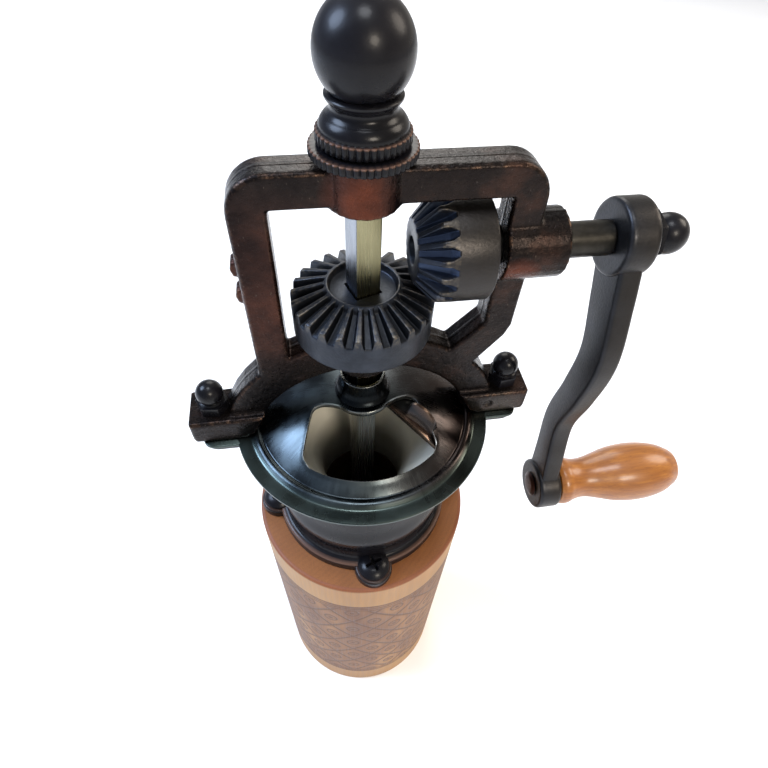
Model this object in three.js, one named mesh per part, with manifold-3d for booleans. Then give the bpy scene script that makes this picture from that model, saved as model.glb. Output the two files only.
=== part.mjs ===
// Crank spice grinder with a turned wood body, a stamped lid with a turning shutter,
// a cast frame that carries two bevel gears, and a conical burr at the foot.
// Millimetres, +Z up. The origin is on the body's axis, on the plane it stands on.
// Azimuths are counted from +X towards +Y. The fill opening faces -Y, the crank is at +X.
import * as THREE from 'three';
import { mergeVertices } from 'three/addons/utils/BufferGeometryUtils.js';
import Module from 'manifold-3d';

const wasm = await Module();
wasm.setup();

// Clearances
const fitGap = 0.3;          // between two pieces that meet
const runGap = 0.2;          // between a turning journal and its bore
const screwGap = 0.25;       // round a screw's shank

// Turned wood body
const bodyRadius = 28;
const bodyHeight = 100;
const bodyEdge = 0.9;        // eased edges
const boreRadius = 9.9;      // peppercorn bore
const spigotRadius = 15.7;   // centres the collar
const spigotHeight = 6;

// Cast collar between the body and the lid
const collarHeight = 37.7;
const collarFootRadius = bodyRadius - 5.4;
const collarFootHeight = 3.1;
const collarWaistRadius = 20.2;
const collarBulge = 1.3;     // how far the bulge stands out of the waist
const collarRimRadius = 24.4;
const collarWall = 2.0;
const collarRimHeight = 2.2;
const screwCircle = collarFootRadius;    // the four body screws
const screwEarRadius = 4.7;
const screwEarHeight = 2.7;
const boltEarHeight = 2;     // the two ears under the lid's ears
const boltEarHalfWidth = 5;

// Pan head body screws
const panRadius = 3.9;
const panHeight = 2.3;
const bodyScrewRadius = 1.7;
const bodyScrewLength = 13;

// Hopper funnel inside the collar
const funnelMouthRadius = 18.84;
const funnelRimWidth = 1.8;
const funnelRimHeight = 1.2;
const funnelDepth = 20;
const funnelWall = 1.2;

// Stamped lid
const lidRadius = 28;
const lidSheet = 0.9;
const lidCrown = 9;          // top of the dome over the brim's underside
const domeRadius = 38;
const beadRadius = 23.6;     // the raised bead where the dome meets the brim
const beadHeight = 1.6;
const openingFrontRadius = 20;
const openingNeckRadius = 6.9;
const openingCornerX = 14;
const openingShoulderX = 11;
const openingShoulderY = -4.2;
const openingSideY = -13.2;
const earHoleX = 31.4;       // lid bolts
const earEndX = 34.8;
const earHalfWidth = 6;
const earCorner = 3.4;

// Shutter under the lid and the flared neck that it turns on
const shutterSheet = 0.6;
const shutterRadius = 21.3;
const shutterHubRadius = 6.4;
const shutterEdgeAzimuth = -44;
const shutterSpan = 121;
const tabAzimuth = -41;
const tabInner = 10.4;
const tabOuter = 16.6;
const tabRise = 2.4;
const eyeletFlangeRadius = 5.2;
const eyeletWall = 0.6;
const neckFootRadius = 6;    // where the neck flares out on the dome
const neckRadius = 4.75;
const neckHeight = 5;        // of its rim over the dome

// Cast frame, a flat loop in the XZ plane, levels over the lid's brim
const frameDepth = 6;
const frameLeftX = -20.4;
const frameRightX = 28.6;
const frameTop = 59.3;
const frameCorner = 6.4;
const barHeight = 5.8;
const leftLegWidth = 6;
const rightLegWidth = 5.7;
const kneeHeight = 27.3;     // where the right leg bends inwards
const archHalfWidth = 29.4;
const archHeight = 25.9;
const archBand = 7.2;
const frameEdge = 0.45;      // eased edges of the casting
const hubRadius = 5.8;
const hubRise = 0.9;         // over the top bar
const bearingRadius = 6.05;
const bearingEndX = 33.7;
const archBossRise = 1.35;
const lugEndX = 36.4;
const lugHalfDepth = 4.75;
const lugTop = 7.2;
const lugHeelX = 21;

// Lid bolts and their cap nuts
const boltRadius = 1.5;
const boltHeadRadius = 2.8;
const boltHeadHeight = 1.5;
const nutAcrossFlats = 5.8;
const nutHexHeight = 2.4;
const nutDomeRadius = 2.75;
const nutDomeLift = 0.75;    // how much of its radius the dome's centre stands over the hexagon

// Drive line
const crankAxisHeight = 43.2;
const shaftSide = 4.5;       // square drive shaft
const shaftTurn = 18.5;      // degrees, as it stands in the photograph
const journalRadius = 2.2;
const gearTeeth = 25;
const pinionTeeth = 18;
const gearRimRadius = 12.8;
const gearRingRadius = 6.15; // edge of the recess round the shaft
const gearRecess = 1.45;
const gearCrestDrop = 8;     // from the crank's axis down to the tooth crests at the rim
const gearFaceSlope = 0.33;  // how fast the crests rise towards the ring
const gearToothDepth = 1.8;
const gearGapShare = 0.21;   // half of a gap's floor, as a share of the tooth pitch
const pinionRimRadius = 9;
const pinionFaceRadius = 5.4;
const pinionFaceX = 8.2;
const pinionBackX = 20.5;
const pinionGapShare = 0.243;
const toothClearance = 0.35; // from a crest to the floor of the other gear's gap
const flankSlope = 0.22;

// Crank
const crankShaftRadius = 3.13;
const crankBoreRadius = 2.3;
const armInnerX = 44;
const armThickness = 4.5;
const armReach = 69.6;
const armLean = 8.5;         // degrees towards the viewer from straight down
const armSway = [0, -2.7, -4.65, -2.3, 1.2, 0.8, 0];
const armWidths = [9.5, 9, 8.2, 7.4, 6.8, 7.4, 9];
const armHubRadius = 6.9;
const armBossRadius = 6.4;
const bossProud = 0.6;
const handleLength = 33;
const handleRadius = 7.6;
const handleNeckRadius = 5.1;
const handleBeadRadius = 6.1;
const handlePinRadius = 2;
const pinHeadRadius = 3.2;

// Finial and lock ring
const lockRingRadius = 7.85;
const lockRingHeight = 1.4;
const lockRingTeeth = 48;
const finialFlangeRadius = 6.75;
const finialFlangeHeight = 1.8;
const finialTeeth = 42;
const finialNeckRadius = 4.6;
const finialBallRadius = 6.5;
const finialHeight = 19.2;
const knurlDepth = 0.45;
const threadReach = 9;       // how far the shaft's thread goes up into the finial

// Burr and foot
const footRadius = bodyRadius - 4;
const footHeight = 3;
const footScrewCircle = footRadius - 2.4;
const footScrewRadius = 1.4;
const burrScrewGap = 1;      // between the burr ring and the foot's screws
const burrRadius = footScrewCircle - footScrewRadius - burrScrewGap;
const burrHeight = 16;
const burrMouthRadius = burrRadius - 2.2;
const burrThroatRadius = burrRadius - 4.6;
const coneTopRadius = 8.4;
const coneFootRadius = burrThroatRadius - 0.7;
const coneHeight = 14;
const coneLift = 8;          // the cone's foot over the table
const burrTeeth = 24;
const footHubRadius = 5.2;
const footHubHeight = 6;
const spokeWidth = 4;
const footScrewHead = 2.7;
const footScrewLength = 12;
const springWire = 0.9;
const springTurns = 5;

// Levels over the table
const collarFoot = bodyHeight;
const lidLevel = bodyHeight + collarHeight;
const crankZ = lidLevel + crankAxisHeight;
const radians = Math.PI / 180;
const halfDiagonal = shaftSide * Math.SQRT1_2;
const shaftBoreRadius = halfDiagonal + fitGap;

// Geometry helpers. Every piece passes through solid(), which merges the shared corners
// and points its faces outwards.
function solid(geometry) {
  const bare = geometry.clone();
  bare.deleteAttribute('normal');
  bare.deleteAttribute('uv');
  const merged = mergeVertices(bare, 1e-5);
  const position = merged.attributes.position;
  const index = merged.index.array;
  const triangles = [];
  let volume = 0;
  const a = new THREE.Vector3();
  const b = new THREE.Vector3();
  const c = new THREE.Vector3();
  for (let i = 0; i < index.length; i += 3) {
    const [p, q, r] = [index[i], index[i + 1], index[i + 2]];
    if (p === q || q === r || r === p) continue;
    triangles.push(p, q, r);
    a.fromBufferAttribute(position, p);
    b.fromBufferAttribute(position, q);
    c.fromBufferAttribute(position, r);
    volume += a.dot(b.cross(c));
  }
  if (volume < 0) {
    for (let i = 0; i < triangles.length; i += 3) {
      [triangles[i], triangles[i + 1]] = [triangles[i + 1], triangles[i]];
    }
  }
  return new wasm.Manifold(new wasm.Mesh({
    numProp: 3,
    vertProperties: new Float32Array(position.array),
    triVerts: new Uint32Array(triangles),
  }));
}

// A profile of [radius, height] pairs turned about Z, from bottom or top to the other end.
function turned(profile, segments = 48) {
  const points = profile.map(([radius, height]) => new THREE.Vector2(Math.max(radius, 0), height));
  return solid(new THREE.LatheGeometry(points, segments).rotateX(Math.PI / 2));
}

// A closed profile turned about Z, for rings and shells with a hole.
function turnedRing(profile, segments = 48) {
  return turned([...profile, profile[0]], segments);
}

// A plain upright cylinder from z = low to z = high.
function rod(radius, low, high, segments = 32) {
  return turned([[0, low], [radius, low], [radius, high], [0, high]], segments);
}

// The same about an axis along X.
function rodX(radius, low, high, segments = 32) {
  return rod(radius, low, high, segments).rotate([0, 90, 0]);
}

// A shape in the XY plane raised from z = low to z = high, with eased edges if asked.
function raised(shape, low, high, edge = 0, curveSegments = 8) {
  const geometry = new THREE.ExtrudeGeometry(shape, {
    depth: high - low - 2 * edge,
    curveSegments,
    bevelEnabled: edge > 0,
    bevelThickness: edge,
    bevelSize: edge,
    bevelOffset: -edge,
    bevelSegments: 1,
  });
  return solid(geometry.translate(0, 0, low + edge));
}

// A shape drawn in XZ and given a depth along Y, centred on the frame's plane.
function upright(shape, depth, edge = 0, curveSegments = 8) {
  return raised(shape, -depth / 2, depth / 2, edge, curveSegments).rotate([90, 0, 0]);
}

function polygon(points) {
  return new THREE.Shape(points.map(([x, y]) => new THREE.Vector2(x, y)));
}

function polar(radius, degrees) {
  return [radius * Math.cos(degrees * radians), radius * Math.sin(degrees * radians)];
}

const group = new THREE.Group();

function add(name, shape, material) {
  const { numProp, vertProperties, triVerts } = shape.getMesh();
  const geometry = new THREE.BufferGeometry();
  const corners = new Float32Array((vertProperties.length / numProp) * 3);
  for (let i = 0, j = 0; i < vertProperties.length; i += numProp, j += 3) {
    corners.set(vertProperties.subarray(i, i + 3), j);
  }
  geometry.setAttribute('position', new THREE.BufferAttribute(corners, 3));
  geometry.setIndex(new THREE.BufferAttribute(new Uint32Array(triVerts), 1));
  geometry.computeVertexNormals();
  const mesh = new THREE.Mesh(geometry, material);
  mesh.name = name;
  group.add(mesh);
  return mesh;
}

function metal(color, roughness) {
  return new THREE.MeshStandardMaterial({ color, roughness, metalness: 0.9 });
}

// Materials, one for each finish in the photograph
const antiqueBronze = metal('#3a2a22', 0.45);
const blackNickel = metal('#22262a', 0.25);
const blackenedSteel = metal('#2b2e38', 0.5);
const brightSteel = metal('#a3a290', 0.35);
const blackEnamel = metal('#17181b', 0.35);
const bareZinc = metal('#7d7b76', 0.5);
const burrSteel = metal('#56575a', 0.45);
const springSteel = metal('#8d9096', 0.3);
const oiledWood = new THREE.MeshStandardMaterial({ color: '#9a6a3c', roughness: 0.6 });
const honeyWood = new THREE.MeshStandardMaterial({ color: '#a0621f', roughness: 0.4 });
const paleLiner = new THREE.MeshStandardMaterial({ color: '#b3ae9a', roughness: 0.6 });

// Height of the dome's upper face over the brim's underside at a radius
function domeHeight(radius) {
  return lidCrown - domeRadius + Math.sqrt(domeRadius ** 2 - radius ** 2);
}

// The dome's curve, sunk by drop, as profile points from one radius to another
function domeCurve(from, to, drop, steps) {
  return Array.from({ length: steps + 1 }, (_, i) => {
    const radius = from + ((to - from) * i) / steps;
    return [radius, lidLevel + domeHeight(radius) - drop];
  });
}

// Wood body
const burrSeat = footHeight + burrHeight + fitGap;
function woodBody() {
  const footPocket = footRadius + fitGap;
  const burrPocket = burrRadius + fitGap;
  const spigotTop = bodyHeight + spigotHeight;
  let body = turnedRing([
    [bodyRadius - bodyEdge, 0],
    [bodyRadius, bodyEdge],
    [bodyRadius, bodyHeight - bodyEdge],
    [bodyRadius - bodyEdge, bodyHeight],
    [spigotRadius, bodyHeight],
    [spigotRadius, spigotTop],
    [boreRadius, spigotTop],
    [boreRadius, burrSeat + burrPocket - boreRadius],
    [burrPocket, burrSeat],
    [burrPocket, footHeight + fitGap],
    [footPocket, footHeight + fitGap],
    [footPocket, 0],
  ], 44);
  for (let i = 0; i < 4; i += 1) {
    const [x, y] = polar(screwCircle, 90 * i);
    const depth = bodyScrewLength + screwGap;
    body = body.subtract(rod(bodyScrewRadius + screwGap, bodyHeight - depth, bodyHeight + 1, 16)
      .translate([x, y, 0]));
  }
  for (let i = 0; i < 3; i += 1) {
    const [x, y] = polar(footScrewCircle, 90 + 120 * i);
    body = body.subtract(rod(footScrewRadius + screwGap, 1, footScrewLength + screwGap, 12)
      .translate([x, y, 0]));
  }
  return body;
}
add('wood_body', woodBody(), oiledWood);

// Collar: foot flange, waist, bulge and rim, with four screw ears and two bolt ears
const collarInnerRadius = collarWaistRadius - collarWall;
const rimLedge = funnelRimHeight + fitGap;
const rimSeatRadius = funnelMouthRadius + funnelRimWidth + fitGap;
const funnelTop = lidLevel - fitGap;
const throatLevel = lidLevel - funnelDepth;
const funnelSlope = (funnelMouthRadius - boreRadius) / (funnelTop - throatLevel);
// the funnel's outside, a wall's thickness beyond its inside, square to the cone
const funnelOutside = (level) => boreRadius + (level - throatLevel) * funnelSlope
  + funnelWall * Math.hypot(1, funnelSlope);
function collarProfile() {
  const at = (share) => lidLevel - share * collarHeight;
  const bulgeRadius = collarWaistRadius + collarBulge;
  const shoulder = collarFoot + collarFootHeight;
  return [
    [collarFootRadius, collarFoot],
    [collarFootRadius, shoulder],
    [collarWaistRadius + 0.4, shoulder + 1.1],
    [collarWaistRadius, at(0.83)],
    [collarWaistRadius + 0.5 * collarBulge, at(0.76)],
    [bulgeRadius, at(0.66)],
    [collarWaistRadius + 0.3 * collarBulge, at(0.53)],
    [collarWaistRadius - 0.2, at(0.36)],
    [collarWaistRadius + 0.6, at(0.17)],
    [collarRimRadius - 0.8, at(0.09)],
    [collarRimRadius, lidLevel - collarRimHeight + 0.6],
    [collarRimRadius, lidLevel],
    [rimSeatRadius, lidLevel],
    [rimSeatRadius, lidLevel - rimLedge - 0.1],
    [funnelOutside(lidLevel - rimLedge - 0.1) + fitGap, lidLevel - rimLedge - 0.1],
    [collarInnerRadius, lidLevel - rimLedge - 3.6],
    [collarInnerRadius, collarFoot + 1.6],
    [spigotRadius + fitGap, collarFoot + 1.6],
    [spigotRadius + fitGap, collarFoot],
  ];
}

// One of the two ears at the bolts, from the axis out to its rounded end
function earShape(side, halfWidth) {
  const shape = new THREE.Shape();
  const inner = side * (rimSeatRadius + 0.6);
  const end = side * earEndX;
  const corner = side * (earEndX - earCorner);
  shape.moveTo(inner, -halfWidth);
  shape.lineTo(corner, -halfWidth);
  shape.quadraticCurveTo(end, -halfWidth, end, -halfWidth + earCorner);
  shape.lineTo(end, halfWidth - earCorner);
  shape.quadraticCurveTo(end, halfWidth, corner, halfWidth);
  shape.lineTo(inner, halfWidth);
  return shape;
}

function collar() {
  let shape = turnedRing(collarProfile(), 36);
  for (let i = 0; i < 4; i += 1) {
    const [x, y] = polar(screwCircle, 90 * i);
    const ear = rod(screwEarRadius, collarFoot, collarFoot + screwEarHeight, 16);
    const room = rod(panRadius + fitGap, collarFoot + screwEarHeight, lidLevel - 2 * rimLedge, 16);
    const hole = rod(bodyScrewRadius + screwGap, collarFoot - 1, collarFoot + screwEarHeight + 1, 12);
    shape = shape.add(ear.translate([x, y, 0]));
    const pocketTop = collarFoot + screwEarHeight + panHeight + 0.8;
    const pocket = room.trimByPlane([0, 0, -1], -pocketTop);
    shape = shape.subtract(pocket.translate([x, y, 0])).subtract(hole.translate([x, y, 0]));
  }
  for (const side of [-1, 1]) {
    shape = shape.add(raised(earShape(side, boltEarHalfWidth), lidLevel - boltEarHeight, lidLevel, 0, 4));
    shape = shape.subtract(rod(boltRadius + screwGap, lidLevel - boltEarHeight - 1, lidLevel + 1, 20)
      .translate([side * earHoleX, 0, 0]));
  }
  return shape;
}
add('collar', collar(), blackEnamel);

// Pan head screw with a cross recess, its head resting at the given level
function panScrew(seat) {
  const head = turned([
    [0, seat - bodyScrewLength - screwEarHeight],
    [bodyScrewRadius, seat - bodyScrewLength - screwEarHeight + 3],
    [bodyScrewRadius, seat],
    [panRadius, seat],
    [panRadius, seat + 0.45 * panHeight],
    [0.82 * panRadius, seat + 0.8 * panHeight],
    [0.45 * panRadius, seat + 0.97 * panHeight],
    [0, seat + panHeight],
  ], 12);
  const slotWidth = 0.24 * panRadius;
  const slotLength = 1.1 * panRadius;
  const slotFloor = seat + 0.4 * panHeight;
  const bar = polygon([[-slotLength / 2, -slotWidth / 2], [slotLength / 2, -slotWidth / 2],
    [slotLength / 2, slotWidth / 2], [-slotLength / 2, slotWidth / 2]]);
  const slot = raised(bar, slotFloor, seat + panHeight + 1);
  return head.subtract(slot).subtract(slot.rotate([0, 0, 90]));
}
for (let i = 0; i < 4; i += 1) {
  const [x, y] = polar(screwCircle, 90 * i - 90);
  const screw = panScrew(collarFoot + screwEarHeight).rotate([0, 0, 20 + 37 * i]).translate([x, y, 0]);
  add(`collar_screw_${i + 1}`, screw, blackEnamel);
}

// Hopper funnel, hung by its rim in the collar and ending over the spigot
function hopperFunnel() {
  const foot = collarFoot + spigotHeight + fitGap;
  const rimUnder = funnelTop - funnelRimHeight;
  return turnedRing([
    [boreRadius, foot],
    [boreRadius + funnelWall, foot],
    [boreRadius + funnelWall, throatLevel - 0.26],
    [funnelOutside(rimUnder), rimUnder],
    [funnelMouthRadius + funnelRimWidth, rimUnder],
    [funnelMouthRadius + funnelRimWidth, funnelTop],
    [funnelMouthRadius, funnelTop],
    [boreRadius, throatLevel],
  ], 36);
}
add('hopper_funnel', hopperFunnel(), paleLiner);

// Lid: brim, step and dome, two ears, the fill opening and the holes
function fillOpening() {
  const front = Math.asin(openingCornerX / openingFrontRadius);
  const down = -Math.PI / 2;
  const shape = new THREE.Shape();
  shape.absarc(0, 0, openingFrontRadius, down - front, down + front, false);
  shape.lineTo(openingCornerX, openingSideY);
  shape.lineTo(openingShoulderX + 0.2, openingShoulderY - 0.8);
  shape.quadraticCurveTo(openingShoulderX - 0.3, openingShoulderY + 1.4,
    openingShoulderX - 2.6, openingShoulderY + 1);
  const neck = Math.PI / 4;
  shape.lineTo(openingNeckRadius * Math.sin(neck) + 0.9, -openingNeckRadius * Math.cos(neck) + 0.9);
  shape.absarc(0, 0, openingNeckRadius, down + neck, down - neck, true);
  shape.lineTo(-openingNeckRadius * Math.sin(neck) - 0.9, -openingNeckRadius * Math.cos(neck) + 0.9);
  shape.lineTo(-openingShoulderX + 2.6, openingShoulderY + 1);
  shape.quadraticCurveTo(-openingShoulderX + 0.3, openingShoulderY + 1.4,
    -openingShoulderX - 0.2, openingShoulderY - 0.8);
  shape.lineTo(-openingCornerX, openingSideY);
  return shape;
}

const eyeletRadius = shaftBoreRadius + eyeletWall;
const domeEdge = beadRadius - 0.7;
const brimInner = beadRadius + 0.9;
function lid() {
  const hole = eyeletRadius + fitGap;
  let shape = turnedRing([
    [lidRadius, lidLevel + 0.2],
    [lidRadius, lidLevel + lidSheet - 0.2],
    [lidRadius - 0.4, lidLevel + lidSheet],
    [brimInner, lidLevel + lidSheet],
    [beadRadius + 0.3, lidLevel + beadHeight - 0.1],
    [beadRadius - 0.1, lidLevel + beadHeight],
    ...domeCurve(domeEdge, hole, 0, 5),
    ...domeCurve(hole, domeEdge - 0.2, lidSheet, 3),
    [beadRadius - 0.1, lidLevel],
    [lidRadius - 0.4, lidLevel],
  ], 44);
  for (const side of [-1, 1]) {
    const outside = rod(brimInner, lidLevel - 1, lidLevel + 2, 44);
    const ear = raised(earShape(side, earHalfWidth), lidLevel, lidLevel + lidSheet, 0, 4);
    shape = shape.add(ear.subtract(outside));
    shape = shape.subtract(rod(boltRadius + screwGap, lidLevel - 1, lidLevel + 2, 20)
      .translate([side * earHoleX, 0, 0]));
  }
  return shape.subtract(raised(fillOpening(), lidLevel - 1, lidLevel + lidCrown + 1, 0, 7));
}
add('lid', lid(), blackNickel);

// Shutter: a dome sector under the lid with a bent-up finger tab, on a round hub
const shutterDrop = lidSheet + fitGap;
function shutter() {
  const hole = eyeletRadius + fitGap;
  const sheet = turnedRing([
    ...domeCurve(shutterRadius, hole, shutterDrop, 5),
    ...domeCurve(hole, shutterRadius, shutterDrop + shutterSheet, 3),
  ], 48);
  const wedge = new THREE.Shape();
  const from = shutterEdgeAzimuth * radians;
  wedge.absarc(0, 0, shutterRadius + 1, from, from + shutterSpan * radians, false);
  wedge.lineTo(0, 0);
  const blank = raised(wedge, lidLevel - 5, lidLevel + lidCrown, 0, 16)
    .add(rod(shutterHubRadius, lidLevel - 5, lidLevel + lidCrown, 28));
  const tabLength = tabOuter - tabInner;
  const foot = lidLevel + domeHeight(tabOuter) - shutterDrop - 0.5 * shutterSheet;
  const rise = domeHeight(tabInner) - domeHeight(tabOuter);
  const leaf = new THREE.Shape();
  leaf.moveTo(0, foot);
  leaf.lineTo(tabLength, foot);
  leaf.lineTo(tabLength, foot + shutterDrop + 0.5 * shutterSheet);
  leaf.quadraticCurveTo(0.75 * tabLength, foot + shutterDrop + tabRise + rise * 0.5,
    0.15 * tabLength, foot + shutterDrop + tabRise + rise * 0.8);
  leaf.lineTo(0, foot + rise + shutterDrop + 0.5 * shutterSheet);
  const tab = upright(leaf, shutterSheet, 0, 6).translate([tabInner, 0, 0]).rotate([0, 0, tabAzimuth]);
  return sheet.intersect(blank).add(tab);
}
add('shutter', shutter(), blackNickel);

// Eyelet: a tube through the lid and the shutter, rolled over below and flared above into
// a neck that keeps the spice off the shaft
function eyelet() {
  const top = lidLevel + lidCrown;
  const neckUnder = lidLevel + domeHeight(neckFootRadius) + fitGap;
  const under = lidLevel + domeHeight(eyeletFlangeRadius) - shutterDrop - shutterSheet - fitGap;
  return turnedRing([
    [shaftBoreRadius, under - eyeletWall],
    [eyeletFlangeRadius, under - eyeletWall],
    [eyeletFlangeRadius, under],
    [eyeletRadius, under],
    [eyeletRadius, top + 0.1],
    [neckFootRadius, neckUnder],
    [neckFootRadius - 0.1, neckUnder + 0.3],
    [0.4 * neckFootRadius + 0.6 * neckRadius, top + 0.16 * neckHeight],
    [neckRadius, top + 0.48 * neckHeight],
    [neckRadius, top + neckHeight],
    [neckRadius - eyeletWall, top + neckHeight],
    [neckRadius - eyeletWall, top + 1],
    [shaftBoreRadius, top + 0.5],
  ], 24);
}
add('shutter_eyelet', eyelet(), blackNickel);

// Frame
const barUnder = frameTop - barHeight;
const legInnerX = frameRightX - rightLegWidth;
function loopShape() {
  const right = frameRightX - frameCorner;
  const left = frameLeftX + frameCorner;
  const top = lidLevel + frameTop;
  const shape = new THREE.Shape();
  shape.moveTo(frameLeftX, lidLevel + 0.63 * archHeight);
  shape.lineTo(frameLeftX, top - frameCorner);
  shape.absarc(left, top - frameCorner, frameCorner, Math.PI, Math.PI / 2, true);
  shape.lineTo(right, top);
  shape.absarc(right, top - frameCorner, frameCorner, Math.PI / 2, 0, true);
  shape.lineTo(frameRightX, lidLevel + kneeHeight - 1);
  shape.lineTo(frameRightX - 0.9, lidLevel + kneeHeight - 3.6);
  shape.lineTo(0.72 * archHalfWidth, lidLevel + 0.56 * archHeight);
  shape.lineTo(0.52 * archHalfWidth, lidLevel + 0.73 * archHeight);
  shape.lineTo(legInnerX, lidLevel + kneeHeight);
  shape.lineTo(legInnerX, lidLevel + barUnder);
  shape.lineTo(frameLeftX + leftLegWidth, lidLevel + barUnder);
  shape.lineTo(frameLeftX + leftLegWidth, lidLevel + 0.63 * archHeight);
  return shape;
}

function archShape() {
  const steps = 22;
  const foot = beadHeight + 0.6;
  const arc = (halfWidth, height) => Array.from({ length: steps + 1 }, (_, i) => {
    const start = Math.asin(foot / height);
    const angle = start + ((Math.PI - 2 * start) * i) / steps;
    return [halfWidth * Math.cos(angle), lidLevel + height * Math.sin(angle)];
  });
  const inner = arc(archHalfWidth - archBand, archHeight - archBand - 0.3).reverse();
  return polygon([...arc(archHalfWidth, archHeight), ...inner]);
}

function lugShape(side) {
  const under = lidLevel + lidSheet;
  const top = lidLevel + lugTop;
  return polygon([
    [side * (brimInner + 1.1), under],
    [side * (lugEndX - 0.4), under],
    [side * lugEndX, under + 1],
    [side * lugEndX, top],
    [side * lugHeelX, top],
    [side * beadRadius, lidLevel + beadHeight + 0.5],
  ]);
}

const hubTop = frameTop + hubRise;
const lockRingFoot = hubTop + fitGap;
const finialFoot = lockRingFoot + lockRingHeight + fitGap;
const hubUnder = barUnder - 0.5;
const archBossTop = archHeight + archBossRise;
function frame() {
  const bossUnder = archHeight - archBand - 0.6;
  let shape = upright(loopShape(), frameDepth, frameEdge)
    .add(upright(archShape(), frameDepth, frameEdge));
  for (const side of [-1, 1]) {
    shape = shape.add(upright(lugShape(side), 2 * lugHalfDepth, frameEdge));
  }
  shape = shape.add(rod(hubRadius, lidLevel + hubUnder, lidLevel + hubTop, 24));
  shape = shape.add(rod(hubRadius, lidLevel + bossUnder, lidLevel + archBossTop, 24));
  shape = shape.add(rodX(bearingRadius, legInnerX, bearingEndX, 24).translate([0, 0, crankZ]));
  const nubShape = polygon([[0.8, -1.7], [-1, -1.3], [-1.3, 0], [-1, 1.3], [0.8, 1.7]]);
  for (const height of [0.715, 0.62]) {
    const nub = upright(nubShape, 0.5 * frameDepth);
    shape = shape.add(nub.translate([frameLeftX, 0.08 * frameDepth, lidLevel + height * frameTop]));
  }
  shape = shape.subtract(rod(journalRadius + runGap, lidLevel + hubUnder - 1, lidLevel + hubTop + 1, 20));
  shape = shape.subtract(rod(shaftBoreRadius, lidLevel + bossUnder - 1, lidLevel + archBossTop + 1, 20));
  const bearingBore = rodX(crankShaftRadius + runGap, legInnerX - 1, bearingEndX + 1, 20);
  shape = shape.subtract(bearingBore.translate([0, 0, crankZ]));
  for (const side of [-1, 1]) {
    const hole = rod(boltRadius + screwGap, lidLevel - 1, lidLevel + lugTop + 1, 16);
    const nutRoom = nutAcrossFlats / Math.sqrt(3) + fitGap;
    const spotFace = rod(nutRoom, lidLevel + lugTop, lidLevel + kneeHeight, 24);
    shape = shape.subtract(hole.add(spotFace).translate([side * earHoleX, 0, 0]));
  }
  const dimple = rod(1, -0.6, 1, 12).rotate([90, 0, 0]);
  return shape.subtract(dimple.translate([lugHeelX + 6.6, -lugHalfDepth, lidLevel + 0.55 * lugTop]));
}
add('frame', frame(), antiqueBronze);

// Cap nut: hexagon, round step and dome, with a blind hole from below
function capNut(seat, flats, hexHeight, dome, bolt) {
  const hex = solid(new THREE.CylinderGeometry(flats / Math.sqrt(3), flats / Math.sqrt(3), hexHeight, 6)
    .rotateX(Math.PI / 2).translate(0, 0, seat + hexHeight / 2));
  const centre = seat + hexHeight + nutDomeLift * dome;
  const start = -Math.asin(nutDomeLift);
  const cap = turned([
    [0, seat],
    [0.45 * flats, seat],
    [0.45 * flats, seat + hexHeight + 0.35],
    ...Array.from({ length: 6 }, (_, i) => {
      const angle = start + ((Math.PI / 2 - start) * (i + 0.6)) / 5.8;
      return [dome * Math.cos(angle), centre + dome * Math.sin(angle)];
    }),
    [0, centre + dome],
  ].filter(([, height], i, all) => i < 3 || height > all[2][1]), 14);
  return hex.add(cap).subtract(rod(bolt + fitGap, seat - 1, centre + 0.35 * dome, 16));
}

const nutSeat = lidLevel + lugTop;
const boltHeadLevel = lidLevel - boltEarHeight;
for (const [side, name] of [[-1, 'left'], [1, 'right']]) {
  const shank = rod(boltRadius, boltHeadLevel - 0.5, nutSeat + nutHexHeight + 0.3 * nutDomeRadius, 14);
  const head = turned([
    [0, boltHeadLevel - boltHeadHeight],
    [0.7 * boltHeadRadius, boltHeadLevel - boltHeadHeight],
    [boltHeadRadius, boltHeadLevel - 0.5 * boltHeadHeight],
    [boltHeadRadius, boltHeadLevel],
    [0, boltHeadLevel],
  ], 14);
  const x = side * earHoleX;
  add(`lid_bolt_${name}`, shank.add(head).translate([x, 0, 0]), blackEnamel);
  const nut = capNut(nutSeat, nutAcrossFlats, nutHexHeight, nutDomeRadius, boltRadius);
  add(`cap_nut_${name}`, nut.rotate([0, 0, -24 * side]).translate([x, 0, 0]), blackEnamel);
}

// Bevel gears, drawn about Z with the point where the shafts' axes cross as the origin and the
// gear below it. The pinion's gaps clear the gear's crests and run out on its rim.
const gearCrest = (radius) => gearFaceSlope * (gearRimRadius - radius) - gearCrestDrop;
const gearGapStart = gearRingRadius + 0.75;
const pinionConeX = gearRimRadius - 1.2;
const pinionGapX = gearRimRadius + 1.3;
const gapReach = 3;

// A stretch of a tooth gap between two places of its floor, each [radius, height, half width].
// It opens along rise, and gets wider by the slope of the teeth's flanks.
function gapStretch(from, to, rise) {
  const corners = [];
  for (const [radius, height, half] of [from, to]) {
    const open = half + flankSlope * gapReach;
    const [outer, upper] = [radius + rise[0] * gapReach, height + rise[1] * gapReach];
    corners.push(radius, -half, height, radius, half, height);
    corners.push(outer, open, upper, outer, -open, upper);
  }
  const geometry = new THREE.BufferGeometry();
  geometry.setAttribute('position', new THREE.Float32BufferAttribute(corners, 3));
  geometry.setIndex([0, 2, 1, 0, 3, 2, 4, 5, 6, 4, 6, 7, 0, 1, 5, 0, 5, 4, 1, 2, 6, 1, 6, 5,
    2, 3, 7, 2, 7, 6, 3, 0, 4, 3, 4, 7]);
  return solid(geometry);
}

function cutTeeth(blank, teeth, stretches, phase) {
  let shape = blank;
  for (let i = 0; i < teeth; i += 1) {
    for (const stretch of stretches) {
      shape = shape.subtract(stretch.rotate([0, 0, ((i + phase) * 360) / teeth]));
    }
  }
  return shape;
}

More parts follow.
